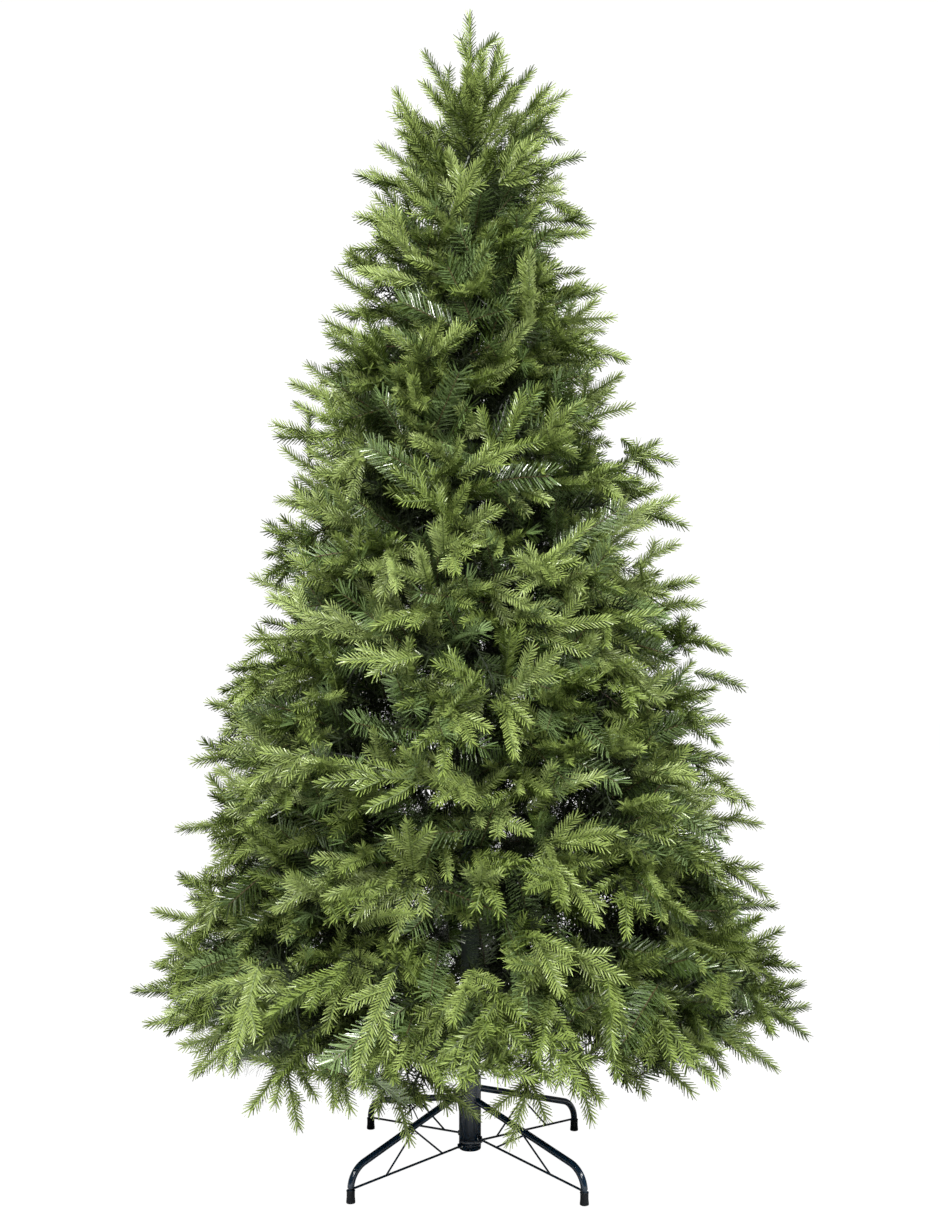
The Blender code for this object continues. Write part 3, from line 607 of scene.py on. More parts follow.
# Sprigs that stand out in the photo, as the tip's x, y, z and the root's x, y, z. Each group has its share of side
# shoots, and the first three rows make the leader. The skirt's front is given shoot by shoot.
placedGroups = {  # in millimetres
    "top": (0.4, [
        (-2, 0, 2088, -2, 0, 1930), (-18, 0, 2052, -2, 0, 2010), (47, 0, 2048, 2, 0, 2005),
        (53, 10, 2040, 30, 0, 1930), (24, -20, 2009, 12, 0, 1900), (-80, 0, 2019, -14, 0, 1915),
        (-82, -30, 1956, -20, 0, 1900), (109, -20, 1980, 28, 0, 1878), (171, 0, 1946, 62, 0, 1884),
        (140, -50, 1942, 85, 0, 1885), (164, 20, 1871, 70, 0, 1894), (-128, 0, 1924, -50, 0, 1876),
        (-128, 20, 1883, -35, 0, 1862), (-162, 0, 1852, -80, 0, 1800), (-117, -60, 1857, -70, -20, 1795),
        (-200, 0, 1801, -105, 0, 1777), (-179, 30, 1816, -105, 0, 1775), (198, 0, 1835, 100, 0, 1803),
        (215, 0, 1712, 130, 0, 1719), (202, 20, 1734, 120, 0, 1760), (206, -30, 1688, 100, 0, 1683),
        (-171, 0, 1760, -100, 0, 1712), (-200, 0, 1724, -110, 0, 1718), (20, -85, 1985, 5, -20, 1890),
        (-50, -110, 1930, -15, -30, 1860), (70, -115, 1915, 25, -30, 1850), (10, -140, 1875, 0, -50, 1830),
        (30, 85, 1990, 10, 20, 1890), (-60, 90, 1965, -20, 20, 1880), (90, 100, 1935, 35, 30, 1870),
        (-20, 140, 1920, -5, 50, 1860), (30, 150, 1880, 10, 60, 1840), (-110, 100, 1900, -45, 40, 1850),
        (120, -80, 1845, 50, -30, 1800), (150, -70, 1800, 70, -30, 1770), (-100, -90, 1835, -40, -30, 1790),
        (60, -150, 1830, 20, -60, 1790), (6, -62, 1958, 2, -14, 1890), (2, 70, 2006, -2, 12, 1915),
        (12, 125, 1962, 6, 35, 1890), (-6, -118, 1952, -4, -30, 1880), (20, 165, 1905, 10, 70, 1865),
        (-10, -160, 1900, -5, -70, 1850),
    ]),
    "sides": (0.6, [
        (-558, -50, 468, -430, -20, 440), (-558, -50, 373, -420, -30, 350), (-594, -50, 328, -440, -30, 330),
        (-566, -80, 276, -440, -50, 296), (-474, -150, 210, -400, -120, 320), (503, -20, 658, 415, -10, 725),
        (527, 20, 616, 420, 10, 629), (522, 0, 541, 415, 0, 530), (533, -30, 497, 445, -20, 552),
        (555, 20, 467, 445, 10, 463), (555, -30, 429, 460, -20, 375), (557, 30, 391, 460, 20, 345),
        (590, 0, 358, 480, 0, 362), (590, -40, 336, 490, -30, 303), (609, 0, 287, 500, 0, 265),
        (579, -140, 273, 500, -110, 325), (523, -150, 219, 430, -120, 280),
    ]),
    "flanks": (0.35, [
        (-197, -50, 1711, -107, -30, 1707), (-223, 20, 1660, -137, 10, 1633), (-238, -20, 1617, -162, -10, 1568),
        (-242, 40, 1564, -153, 30, 1550), (-259, -40, 1527, -175, -20, 1496), (-228, -50, 1481, -138, -30, 1476),
        (-296, 20, 1457, -221, 10, 1407), (-319, -20, 1418, -234, -10, 1389), (-298, 40, 1371, -295, 30, 1281),
        (-349, -40, 1341, -262, -20, 1320), (-340, -50, 1319, -250, -30, 1323), (-339, 20, 1302, -263, 10, 1254),
        (-308, -20, 1248, -226, -10, 1209), (-350, 40, 1212, -260, 30, 1212), (-314, -40, 1232, -254, -20, 1165),
        (-362, -50, 1150, -272, -30, 1146), (-368, 20, 1167, -296, 10, 1113), (-363, -20, 1110, -278, -10, 1142),
        (-397, 40, 1068, -311, 30, 1041), (-355, -40, 1023, -270, -20, 1050), (-378, -50, 973, -315, -30, 909),
        (-434, 20, 902, -344, 10, 908), (-468, -20, 840, -379, -10, 822), (-435, 40, 810, -346, 30, 823),
        (-476, -40, 770, -399, -20, 724), (-490, -50, 738, -402, -30, 755), (-465, 20, 709, -384, 10, 748),
        (-448, -20, 668, -361, -10, 645), (-528, 20, 608, -420, 10, 628), (232, -40, 1583, 144, -20, 1564),
        (250, -50, 1531, 160, -30, 1523), (239, 20, 1522, 149, 10, 1518), (278, -20, 1462, 193, -10, 1490),
        (256, 40, 1414, 173, 30, 1380), (284, -40, 1372, 197, -20, 1347), (333, -50, 1305, 258, -30, 1255),
        (370, 20, 1282, 281, 10, 1298), (337, -20, 1256, 274, -10, 1320), (343, 40, 1236, 255, 30, 1217),
        (364, -40, 1205, 279, -20, 1175), (382, -50, 1160, 296, -30, 1188), (377, 20, 1130, 298, 10, 1086),
        (403, -20, 1061, 316, -10, 1038), (424, 40, 1020, 334, 30, 1008), (393, -40, 978, 306, -20, 956),
        (456, -50, 936, 369, -30, 960), (496, 20, 869, 410, 10, 895), (458, -20, 808, 369, -10, 798),
        (472, 40, 731, 384, 30, 753), (459, -40, 707, 374, -20, 676),
    ]),
    "skirt": (0.15, [
        (-93, -460, 195, -125, -410, 284), (-125, -410, 284, -160, -330, 350), (-142, -460, 237, -128, -410, 287),
        (-69, -450, 248, -122, -410, 282), (7, -460, 232, -71, -420, 284), (-71, -420, 284, -110, -340, 345),
        (-35, -450, 240, -69, -410, 300), (62, -460, 192, 89, -420, 261), (89, -420, 261, 110, -350, 335),
        (33, -460, 237, 88, -410, 268), (115, -450, 224, 92, -400, 275), (186, -450, 222, 165, -390, 300),
        (196, -430, 250, 165, -380, 305), (160, -440, 260, 160, -380, 320), (-269, -410, 201, -294, -350, 275),
        (-346, -380, 216, -300, -330, 275), (-305, -400, 232, -296, -340, 285), (-242, -400, 243, -284, -340, 290),
        (-294, -350, 275, -290, -270, 340), (-186, -420, 228, -213, -370, 300), (-210, -420, 235, -225, -360, 305),
        (-160, -430, 262, -200, -360, 310), (-441, -280, 249, -380, -230, 300), (-383, -290, 251, -375, -240, 310),
        (278, -360, 236, 235, -310, 290), (250, -370, 255, 225, -310, 310), (361, -300, 219, 300, -250, 270),
        (330, -310, 245, 290, -260, 295), (402, -240, 230, 335, -200, 270), (425, -230, 235, 375, -190, 300),
        (470, -180, 245, 400, -150, 300),
    ]),
}
placedRule = {
    "backFlip": (-1, -1, 1.08, -1, -1, 1.08), "backBranching": 0.3,  # every second row of the skirt, for its back
    "sag": 0.006,  # the middle rises by this on the right flank, and falls by it on the left
    "roll": 0.3, "drop": 0.03,
    "leaderRows": 3, "leaderTone": 2, "hangingBelow": 0.27, "hangingTone": 1, "paintedShadeBelow": 0.38,
    "longTwigBelow": 0.7, "twigStart": (0.45, 0.45, 1.0), "twigBend": (0.8, 0.8, 1.1),  # times the sprig's root
}
placedTables = [(share, np.array(rows) / 1000) for share, rows in placedGroups.values()]
placedTables.append((placedRule["backBranching"], placedTables[-1][1][::2] * placedRule["backFlip"]))
placedSprigs = np.concatenate([rows for _, rows in placedTables])
placedTip, placedRoot = placedSprigs[:, :3], placedSprigs[:, 3:]
placedWay = unit(placedTip - placedRoot)
placedOut = unit(placedTip * np.array([1.0, 1.0, 0.0]) + np.array([0, -1e-3, 0]))
placedTier = np.floor((placedTip[:, 2] - crown["rimZ"][0]) / (crown["rimZ"][1] - crown["rimZ"][0]) * tierCount)

# Moulded sprigs: a main shoot and side shoots on both sides of it
cell, turn, level, tips = spreadTips(mouldedSprig)
length, ways, out, roots = aimShoots(mouldedSprig, cell, turn, level, tips)
flat = flatOf(ways, out, draw.normal(0, mouldedSprig["roll"], len(cell)))
mains = shootCurves(cell, roots, tips, length * draw.uniform(*mouldedSprig["sag"], len(cell)), flat)
placed = {
    "start": placedRoot,
    "bend": (placedRoot + placedTip) / 2 + placedRule["sag"] * upright * placedOut[:, :1],
    "end": placedTip, "tier": placedTier.astype(int).clip(0, tierCount),
    "flat": flatOf(placedWay, placedOut, draw.normal(0, placedRule["roll"], len(placedTip))),
    "low": placedTip[:, 2] - placedRule["drop"]}
mains = joinCurves(keepInside(mains), placed)
sprigLength = np.concatenate([length, np.linalg.norm(placedTip - placedRoot, axis=1)])
tone = draw.choice(3, len(sprigLength), p=mouldedSprig["tones"])
tone[len(cell):len(cell) + placedRule["leaderRows"]] = placedRule["leaderTone"]
# painted shade at the skirt: sprigs whose tips lie lowest take a tone deeper
tone = np.minimum(tone + (mains["end"][:, 2] < placedRule["paintedShadeBelow"]), 2)  # the lowest ones are a tone deeper
hanging = np.flatnonzero((placedTip[:, 2] < placedRule["hangingBelow"]) & (placedTip[:, 1] < 0))
tone[len(cell) + hanging] = placedRule["hangingTone"]  # but not those that hang in front
mains["tone"] = tone
branching = np.concatenate([np.ones(len(cell)), *[np.full(len(rows), share) for share, rows in placedTables]])
low = placedTip[:, 2] < placedRule["longTwigBelow"]  # the low ones get a twig from further in
mouldedTwigs = joinCurves(twigsTo(cell, turn, roots, ways), {
    "start": placedRoot[low] * placedRule["twigStart"], "bend": placedRoot[low] * placedRule["twigBend"],
    "end": placedRoot[low], "tier": placed["tier"][low], "flat": placed["flat"][low]})

sideShoot = {
    "angle": 42.0, "angleSpread": 6, "lift": 0.34, "sizeSpread": (0.85, 1.15), "curl": 0.22,
    # where they leave the main shoot, on which side, their size as a share of it, and the share of sprigs with one
    "rows": ((0.10, 1, 0.50, 0.7), (0.20, -1, 0.50, 0.8), (0.42, 1, 0.38, 0.85), (0.50, -1, 0.36, 0.85)),
}


def sideShoots(share, side, size, part):
    chosen = np.flatnonzero(draw.random(len(sprigLength)) < part * branching)
    count = len(chosen)
    start = curvePoint(mains, chosen, np.full(count, share))
    way = curveWay(mains, chosen, np.full(count, share))
    flat = mains["flat"][chosen]
    across = unit(np.cross(flat, way)) * side
    opened = np.radians(sideShoot["angle"] + draw.normal(0, sideShoot["angleSpread"], count))[:, None]
    lift = draw.normal(0, sideShoot["lift"], count)[:, None] * flat
    heading = unit(np.cos(opened) * way + np.sin(opened) * across + lift)
    reach = (sprigLength[chosen] * size * draw.uniform(*sideShoot["sizeSpread"], count))[:, None]
    end = start + reach * unit(heading + sideShoot["curl"] * way)
    kept = {key: mains[key][chosen] for key in ("tier", "flat", "low", "tone")}
    return shorten({"start": start, "bend": start + 0.5 * reach * heading, "end": end, **kept})


mouldedShoots = joinCurves(mains, *[sideShoots(*row) for row in sideShoot["rows"]])
print("moulded sprigs", len(sprigLength), "shoots", len(mouldedShoots["tone"]),
      "metres", round(curveLength(mouldedShoots).sum(), 1))

# Film shoots: single brushes of long strips
cell, turn, level, tips = spreadTips(filmShoot)
kept = ((cellTier[cell] > 0) | (level > filmShoot["underLevel"]) | (tips[:, 1] > 0.05)
        | (draw.random(len(cell)) < filmShoot["keptUnder"]))
cell, turn, level, tips = (values[kept] for values in (cell, turn, level, tips))
length, ways, out, roots = aimShoots(filmShoot, cell, turn, level, tips)
sag = length * draw.uniform(*filmShoot["sag"], len(cell))
flat = flatOf(ways, out, draw.normal(0, filmShoot["roll"], len(cell)))
filmShoots = keepInside(shootCurves(cell, roots, tips, sag, flat))
filmShoots["tone"] = draw.choice(2, len(cell), p=filmShoot["tones"])
filmTwigs = twigsTo(cell, turn, roots, ways)
print("film shoots", len(cell), "metres", round(curveLength(filmShoots).sum(), 1))


# Needles and stems

# rows: each row's direction round the shoot in degrees (0 and 180 are its two sides, 90 the upper face), its place
# within one step along it and how many tones deeper it is: painted shade for the rows in the middle of a shoot or
# under it. widths: at the root and at the tip. lean and untidy are in degrees, the twists in radians, and deeper is
# the share of single needles that are a tone deeper.
anyNeedle = {"first": 0.0, "uneven": 0.05, "deeper": 0.22, "deepest": 3}
mouldedNeedle = {
    **anyNeedle,
    "rows": ((0, 0.0, 0), (180, 0.5, 0), (58, 0.05, 0), (122, 0.55, 0), (238, 0.0, 2), (302, 0.5, 1)),
    "step": 0.0056, "length": 0.0155, "widths": (0.0026, 0.0012), "lean": 50, "tipLean": 14,
    "stem": 0.0018, "curl": 0.14, "untidy": 2.5, "twist": 0.30, "strayTwist": 0.42}
filmNeedle = {
    **anyNeedle,
    "rows": ((0, 0.0, 0), (180, 0.25, 0), (0, 0.5, 0), (180, 0.75, 0), (35, 0.03, 0), (145, 0.28, 0), (75, 0.5, 1),
             (225, 0.5, 1), (315, 0.25, 1)),
    "step": 0.0096, "length": 0.030, "widths": (0.0024, 0.0015), "lean": 56, "tipLean": 30,
    "stem": 0.0010, "curl": 0.03, "untidy": 3.0, "twist": 0.50, "strayTwist": 0.10}
# The strips on twigs and boughs take the film's last tone all over: painted shade inside the crown.
twigNeedle = {
    **filmNeedle, "tone": 3,  # dark all over, inside the crown
    "rows": ((0, 0.0, 0), (180, 0.5, 0), (45, 0.3, 0), (135, 0.8, 0), (90, 0.1, 0), (240, 0.4, 0), (300, 0.9, 0)),
    "step": 0.021, "length": 0.024, "widths": (0.0026, 0.0018), "first": 0.08, "untidy": 9.0}
boughNeedle = {**twigNeedle, "step": 0.014, "length": 0.030, "first": 0.06}
# radius at the root and at the tip, steps along and sides round
stemForms = {
    "sprig": (0.0021, 0.0014, 3, 3), "film": (0.0012, 0.0009, 3, 3),
    "bough": (0.0034, 0.0020, 14, 8), "twig": (0.0015, 0.0012, 5, 3)}


def curveFrame(curves, owner, share):
    # the curve's direction there, and the two directions across it
    way = curveWay(curves, owner, share)
    side = unit(np.cross(curves["flat"][owner], way))
    return way, side, np.cross(way, side)


def growNeedles(curves, form):
    # Needles stand on each shoot in rows along it: cos lean * way + sin lean * radial. They lean more near its tip.
    # Each is a strip from root to blunt tip, and its width lies in the plane of the needle and the shoot, give or take
    # a twist, so that a shoot shows some of its rows broad from every side.
    rowTurn, rowPlace, rowPaintedShade = np.array(form["rows"]).T
    steps = np.maximum((curveLength(curves) * (1 - form["first"]) / form["step"]).astype(int), 3)
    counts = steps * len(rowTurn)
    owner, rank = numberOff(counts)
    row = rank % len(rowTurn)
    share = mix(form["first"], 1.03, (rank // len(rowTurn) + rowPlace[row]) / steps[owner])
    along = np.minimum(share, 1)
    way, side, up = curveFrame(curves, owner, along)
    untidy = np.radians(form["untidy"]) * draw.normal(0, 1, (2, len(owner)))
    turn = np.radians(rowTurn[row]) + untidy[0] * 2
    radial = np.cos(turn)[:, None] * side + np.sin(turn)[:, None] * up
    nearTip = np.clip((share - 0.88) / 0.15, 0, 1)
    lean = (np.radians(mix(form["lean"], form["tipLean"], nearTip)) + untidy[1])[:, None]
    needleWay = np.cos(lean) * way + np.sin(lean) * radial
    size = form["length"] * mix(1, 0.85, nearTip) * (1 + form["uneven"] * draw.normal(0, 1, len(owner)).clip(-2, 1.2))
    size = (size * np.clip(0.7 + share * 4, 0.7, 1))[:, None]
    root = curvePoint(curves, owner, along) + radial * form["stem"] * 0.6
    fold = np.cross(way, radial)
    across = unit(np.cross(needleWay, fold))
    shootTwist = draw.normal(0, form["twist"], (len(counts), 1))[owner]
    twist = shootTwist + draw.normal(0, form["strayTwist"], (2, len(owner), 1))
    low = unit(across + twist[0] * fold) * form["widths"][0] / 2
    high = unit(across + twist[1] * fold) * form["widths"][1] / 2
    tip = root + needleWay * size + way * form["curl"] * size
    vertices = np.stack([root - low, root + low, tip + high, tip - high], axis=1)
    first = np.arange(len(owner))[:, None] * 4
    faces = np.stack([first + [0, 1, 2], first + [0, 2, 3]], axis=1).reshape(-1, 3)
    tone = curves["tone"][owner] if "tone" in curves else form["tone"]
    # rows in the middle of a shoot or under it take their painted shade here, and single needles a random tone deeper
    tone = tone + rowPaintedShade[row].astype(int) + (draw.random(len(owner)) < form["deeper"])
    return vertices.reshape(-1, 3), faces, np.repeat(np.minimum(tone, form["deepest"]), 2)


def growStems(curves, radiusLow, radiusHigh, steps, sides):
    # Round wires along the curves: a circle of few sides at each step, thinner to the tip, with both ends closed
    count = len(curves["start"])
    share = np.linspace(0, 1, steps + 1)
    owner = np.repeat(np.arange(count), steps + 1)
    shares = np.tile(share, count)
    point = curvePoint(curves, owner, shares)
    _, side, up = curveFrame(curves, owner, shares)
    radius = mix(radiusLow, radiusHigh, shares)[:, None, None]
    ring = point[:, None] + radius * circle(side, up, sides)
    vertices = ring.reshape(-1, 3)
    base = (np.arange(count)[:, None] * (steps + 1) + np.arange(steps)[None, :])[..., None] * sides
    now = np.arange(sides)
    after = (now + 1) % sides
    walls = np.stack([
        np.stack([base + now, base + after, base + sides + after], axis=-1),
        np.stack([base + now, base + sides + after, base + sides + now], axis=-1),
    ]).reshape(-1, 3)
    fan = np.array([[0, k + 1, k] for k in range(1, sides - 1)])
    low = np.arange(count)[:, None, None] * (steps + 1) * sides + fan
    high = low[..., ::-1] + steps * sides
    return vertices, np.concatenate([walls, low.reshape(-1, 3), high.reshape(-1, 3)])


def ofTier(curves, tier):
    return {key: values[curves["tier"] == tier] for key, values in curves.items()}


triangles = 0
for tier in range(tierCount + 1):
    label = f"tier_{tier + 1}" if tier < tierCount else "leader"
    nodes = [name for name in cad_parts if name.startswith(f"{label}_mass_")] or ["leader"]
    shoots = ofTier(mouldedShoots, tier)
    vertices, faces, tones = growNeedles(shoots, mouldedNeedle)
    made = [meshPiece(f"{label}_moulded_needles", vertices, faces, mouldedMaterials, tones),
            meshPiece(f"{label}_moulded_stems", *growStems(shoots, *stemForms["sprig"]), [mouldedStem])]
    if tier < tierCount:
        film, limbs = ofTier(filmShoots, tier), ofTier(boughs, tier)
        twigs = joinCurves(ofTier(mouldedTwigs, tier), ofTier(filmTwigs, tier))
        tables = [growNeedles(film, filmNeedle), growNeedles(twigs, twigNeedle), growNeedles(limbs, boughNeedle)]
        limbTables = [growStems(limbs, *stemForms["bough"]), growStems(twigs, *stemForms["twig"])]
        made += [
            meshPiece(f"{label}_film_needles", *joinTables([table[:2] for table in tables]), filmMaterials,
                      np.concatenate([table[2] for table in tables])),
            meshPiece(f"{label}_wires", *growStems(film, *stemForms["film"]), [twistedWire]),
            meshPiece(f"{label}_boughs", *joinTables(limbTables), [wrappedWire])]
    for piece in made:
        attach(piece, "root")
        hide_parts(*nodes)
        triangles += len(piece.data.polygons)
        print(piece.name, len(piece.data.polygons))
print("foliage triangles", triangles)


# The stand: a socket tube on four bent legs, each with a brace and a rubber cap

stand = {
    "turn": -1.3,  # degrees: the legs aren't quite on the diagonals
    "footDistance": 0.280, "legRadius": 0.006, "legSides": 24, "bendRadius": 0.042, "bendSteps": 18,
    "straightZ": 0.0225, "legFootZ": 0.004, "legInWall": 0.0014,
    "legSlopes": (13.6, 17.5),  # degrees: the inner pair nests under the outer pair
    "braceHubZ": (0.052, 0.038), "braceFootZ": 0.023, "braceRadius": 0.0020, "braceGap": 0.0006, "braceHubOut": 0.0012,
    "webRadius": 0.0017, "webPeak": 0.136, "webFeet": (0.068, 0.201), "braceSides": 12,
    "tabHalves": (0.004, 0.0011, 0.00425), "tabInWall": 0.0006, "rivetRadius": 0.0021, "rivetRise": 0.0012,
    "rivetOut": 0.001,
}
socket = {
    "radius": 0.020, "wall": 0.0015, "lowZ": 0.0285, "highZ": 0.160, "floor": 0.0030, "sides": 72,
    "grooveZ": 0.048, "grooveHalf": 0.0006, "grooveDepth": 0.0012, "lowRound": 0.0022,
    "beadZ": (0.0365, 0.0405), "bead": 0.00035, "beadHalf": 0.0007,
}
cap = {"radiusTop": 0.0071, "radiusFoot": 0.0078, "height": 0.022, "lip": 0.0005, "bore": 0.0063, "floor": 0.003,
       "sides": 40, "footRound": 0.0009, "crispDegrees": 40}
# the eye bolt that clamps the pole, and the small stud in the socket's lower edge
bolt = {"z": 0.139, "angle": 236.0, "out": 0.011, "shank": 0.0023, "shankFrom": -0.014, "shankTo": -0.005,
        "eyeRadius": 0.0072, "eyeWire": 0.0016, "sides": 16}
stud = {"angle": 271, "above": 0.0028, "sunk": 0.0002, "tilt": -0.2, "radius": 0.0012, "rise": 0.0006}


def arc(centre, radius, fromDegrees, toDegrees, steps):
    # points of a circle's arc in the (distance, height) plane
    angles = np.radians(np.linspace(fromDegrees, toDegrees, steps + 1))
    return np.column_stack([centre[0] + radius * np.cos(angles), centre[1] + radius * np.sin(angles)])


def dome(centre, outwards, radius, rise):
    # A rivet's head: radius cos t round its axis and rise sin t along it, t from 0 to 90 degrees, with a flat back
    t = np.radians(np.linspace(0, 90, 7))
    vertices, faces = turnedShape([(0, -0.0006), *zip(radius * np.cos(t), rise * np.sin(t))], 20)
    outwards = unit(np.asarray(outwards, float))
    side = unit(np.cross(outwards, [0.1, 0.2, 1.0]))
    up = np.cross(outwards, side)
    return np.asarray(centre) + vertices @ np.stack([side, up, outwards]), faces


def slab(centre, axes, halves):
    # A small plate: each coordinate is a half size times its axis, with the corners of a box
    corners = np.array([(x, y, z) for x in (-1, 1) for y in (-1, 1) for z in (-1, 1)], float)
    vertices = np.asarray(centre) + (corners * halves) @ np.asarray(axes)
    return vertices, np.array([(0, 1, 3, 2), (4, 6, 7, 5), (0, 4, 5, 1), (2, 3, 7, 6), (0, 2, 6, 4), (1, 5, 7, 3)])


def eyeRing(centre, axes, radius, wire, sides=(36, 12)):
    # A ring of round wire: (R + w cos b) along the circle a, and w sin b across it
    a, b = np.meshgrid(*(np.linspace(0, 2 * np.pi, count, endpoint=False) for count in sides), indexing="ij")
    reach = radius + wire * np.cos(b)
    ring = np.stack([reach * np.cos(a), reach * np.sin(a), wire * np.sin(b)], axis=-1).reshape(-1, 3)
    return np.asarray(centre) + ring @ np.asarray(axes), tubeFaces(*sides, closed=True)


def hardPiece(name, tables, materials, node, degrees=32, tones=None):
    # a piece of the stand or the pole: smooth where it curves, and it stands for its CAD node
    tones = tones or [0] * len(tables)
    faceTones = np.concatenate([np.full(len(faces), tone) for (_, faces), tone in zip(tables, tones)])
    piece = meshPiece(name, *joinTables(tables), materials, faceTones)
    finishSmooth(piece, degrees)
    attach(piece, "root")
    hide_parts(node)


def legPath(slope):
    # the leg's middle line as (distance, height): down from the socket, then a bend to upright
    centre = (stand["footDistance"] - stand["bendRadius"], stand["straightZ"])
    bend = arc(centre, stand["bendRadius"], 90 - slope, 0, stand["bendSteps"])
    hubDistance = socket["radius"] - stand["legInWall"]
    hub = (hubDistance, bend[0, 1] + (bend[0, 0] - hubDistance) * math.tan(math.radians(slope)))
    straight = np.linspace(hub, bend[0], 8)[:-1]
    return np.concatenate([straight, bend, [(stand["footDistance"], stand["legFootZ"])]])


def outFrom(angle, path):
    # (distance, height) points turned to a direction in radians
    path = np.asarray(path, float)
    return polar(path[:, 0], angle, path[:, 1])


# Socket: a tube with a closed floor, a rounded lower edge, a groove and two fine beads under it
outer, inner = socket["radius"], socket["radius"] - socket["wall"]
lowZ, highZ, lowRound = socket["lowZ"], socket["highZ"], socket["lowRound"]
grooveLow, grooveHigh = socket["grooveZ"] - socket["grooveHalf"], socket["grooveZ"] + socket["grooveHalf"]
grooveBottom = outer - socket["grooveDepth"]
groove = [(outer, grooveLow), (grooveBottom, grooveLow), (grooveBottom, grooveHigh), (outer, grooveHigh)]
beads = [(outer + (socket["bead"] if k == 0 else 0), z + k * socket["beadHalf"])
         for z in socket["beadZ"] for k in (-1, 0, 1)]
lowCollar = [(0, lowZ), (outer * 0.6, lowZ), *arc((outer - lowRound, lowZ + lowRound), lowRound, -90, 0, 5),
             *beads, groove[0]]
highCollar = [groove[-1], (outer, 0.1), (outer, highZ - 0.0006), (outer - 0.0005, highZ), (inner + 0.0004, highZ),
              (inner, highZ - 0.0005), (inner, lowZ + socket["floor"]), (0, lowZ + socket["floor"])]
# the groove's faces take the dark rubber: painted shade in the groove
hardPiece("socket_tube", [turnedShape(profile, socket["sides"]) for profile in (lowCollar, highCollar, groove)],
          [blackEnamel, mouldedRubber], "stand_socket", tones=(0, 0, 1))

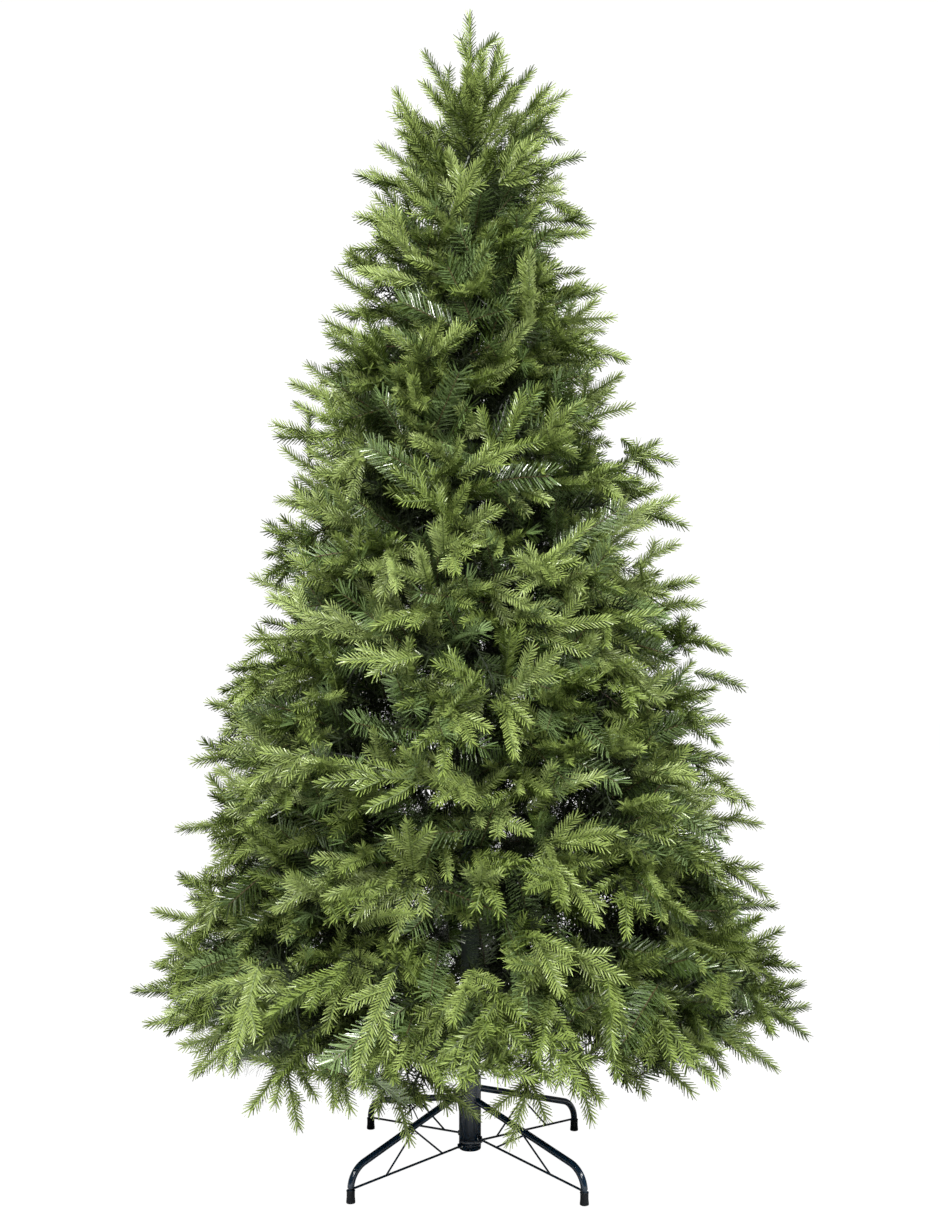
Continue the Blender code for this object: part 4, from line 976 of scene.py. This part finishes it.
# cap: a moulded rubber cup, a little wider at the floor, with a lip round its mouth
foot, top, lipOut = cap["radiusFoot"], cap["radiusTop"], cap["radiusTop"] + cap["lip"]
capProfile = [(0, 0), (foot * 0.6, 0), *arc((foot - cap["footRound"], cap["footRound"]), cap["footRound"], -90, 0, 4),
              (foot, 0.003), (top, 0.010), (top, cap["height"] - 0.0022), (lipOut, cap["height"] - 0.0018),
              (lipOut, cap["height"] - 0.0006), (top, cap["height"]), (cap["bore"], cap["height"]),
              (cap["bore"], cap["floor"]), (0, cap["floor"])]
capPoints, capFaces = turnedShape(capProfile, cap["sides"])
fasteners = []  # (table, tone): the enamel's tone is 0 and the zinc's 1
for number in range(4):
    angle = math.radians(90 * number + 45 + stand["turn"])
    pair = (number + 1) % 2
    slope, hubZ = stand["legSlopes"][pair], stand["braceHubZ"][pair]
    path = legPath(slope)
    out = polar(1.0, angle, 0.0)
    aside = np.cross(upright, out)
    hardPiece(f"leg_tube_{number + 1}", [roundBar(outFrom(angle, path), stand["legRadius"], stand["legSides"])],
              [blackEnamel], f"stand_leg_{number + 1}")
    # brace: a rod from its tab on the socket to the foot, and two webs that meet under the leg
    rodStart = (outer + stand["braceHubOut"], hubZ)
    rodEnd = (stand["footDistance"] - stand["legRadius"] - stand["braceGap"], stand["braceFootZ"])
    share = (stand["webPeak"] - path[0, 0]) / (path[7, 0] - path[0, 0])
    below = (stand["legRadius"] + stand["webRadius"] * 0.4) / math.cos(math.radians(slope))
    peak = (stand["webPeak"], mix(path[0, 1], path[7, 1], share) - below)
    rods = [roundBar(outFrom(angle, np.linspace(rodStart, rodEnd, 6)), stand["braceRadius"], stand["braceSides"])]
    for distance in stand["webFeet"]:
        along = (distance - rodStart[0]) / (rodEnd[0] - rodStart[0])
        web = np.linspace((distance, mix(rodStart[1], rodEnd[1], along)), peak, 4)
        rods.append(roundBar(outFrom(angle, web), stand["webRadius"], stand["braceSides"]))
    hardPiece(f"brace_rods_{number + 1}", rods, [blackEnamel], f"stand_brace_{number + 1}")
    hardPiece(f"cap_rubber_{number + 1}", [(capPoints + stand["footDistance"] * out, capFaces)], [mouldedRubber],
              f"foot_cap_{number + 1}", cap["crispDegrees"])
    # the brace's two tabs on the socket, each with a rivet
    tab = (outer + stand["tabHalves"][0] - stand["tabInWall"]) * out + hubZ * upright
    for side in (-1, 1):
        plate = tab + side * (stand["braceRadius"] + stand["tabHalves"][1]) * aside
        head = tab + side * (stand["braceRadius"] + 2 * stand["tabHalves"][1]) * aside + stand["rivetOut"] * out
        fasteners.append((slab(plate, (out, aside, upright), stand["tabHalves"]), 0))
        fasteners.append((dome(head, side * aside, stand["rivetRadius"], stand["rivetRise"]), 1))

boltAngle, studAngle = math.radians(bolt["angle"]), math.radians(stud["angle"])
boltOut, boltSide = polar(1.0, boltAngle, 0.0), polar(1.0, boltAngle + math.pi / 2, 0.0)
boltHead = bolt["z"] * upright + (outer + bolt["out"]) * boltOut
shank = [boltHead + distance * boltOut for distance in (bolt["shankFrom"], bolt["shankTo"], 0)]
fasteners += [
    (roundBar(shank, bolt["shank"], bolt["sides"]), 1),
    (eyeRing(boltHead + bolt["eyeRadius"] * boltOut, (boltOut, upright, boltSide), bolt["eyeRadius"],
             bolt["eyeWire"]), 1),
    (dome(polar(outer - stud["sunk"], studAngle, lowZ + stud["above"]), polar(1.0, studAngle, stud["tilt"]),
          stud["radius"], stud["rise"]), 1),
]
hardPiece("socket_fasteners", [table for table, _ in fasteners], [blackEnamel, zincPlate],
          "stand_socket", tones=[tone for _, tone in fasteners])
print("stand made")


# The pole: steel tube in three steps, each swaged into the one below, with a flanged ring at each tier

lip, half, rounding, flange = pole["ringLip"], pole["ringHeight"] / 2, pole["rounding"], pole["flange"]
# one flange, as (past the pole's radius, above the ring's middle): the other one is its mirror image, and the boughs
# hook into the channel between them
flangeProfile = [(0, -half), (lip - rounding, -half), (lip, rounding - half), (lip, flange - half),
                 (lip * 0.45, flange + rounding - half)]
poleProfile = [(0, pole["steps"][0])]
for radius, low, high in zip(pole["radii"], pole["steps"], pole["steps"][1:]):
    poleProfile += [(radius - pole["bevel"], low), (radius, low + pole["bevel"])]
    for middle in map(stemHeight, range(tierCount)):
        if low < middle < high:
            poleProfile += [(radius + past, middle + above) for past, above in flangeProfile]
            poleProfile += [(radius + past, middle - above) for past, above in flangeProfile[::-1]]
    poleProfile += [(radius, high - pole["topBevel"]), (radius - pole["topBevel"], high)]
poleProfile += [(0, pole["steps"][-1])]
hardPiece("pole_tube", [turnedShape(poleProfile, pole["sides"])], [greenPowderCoat], "pole")
print("pole made")
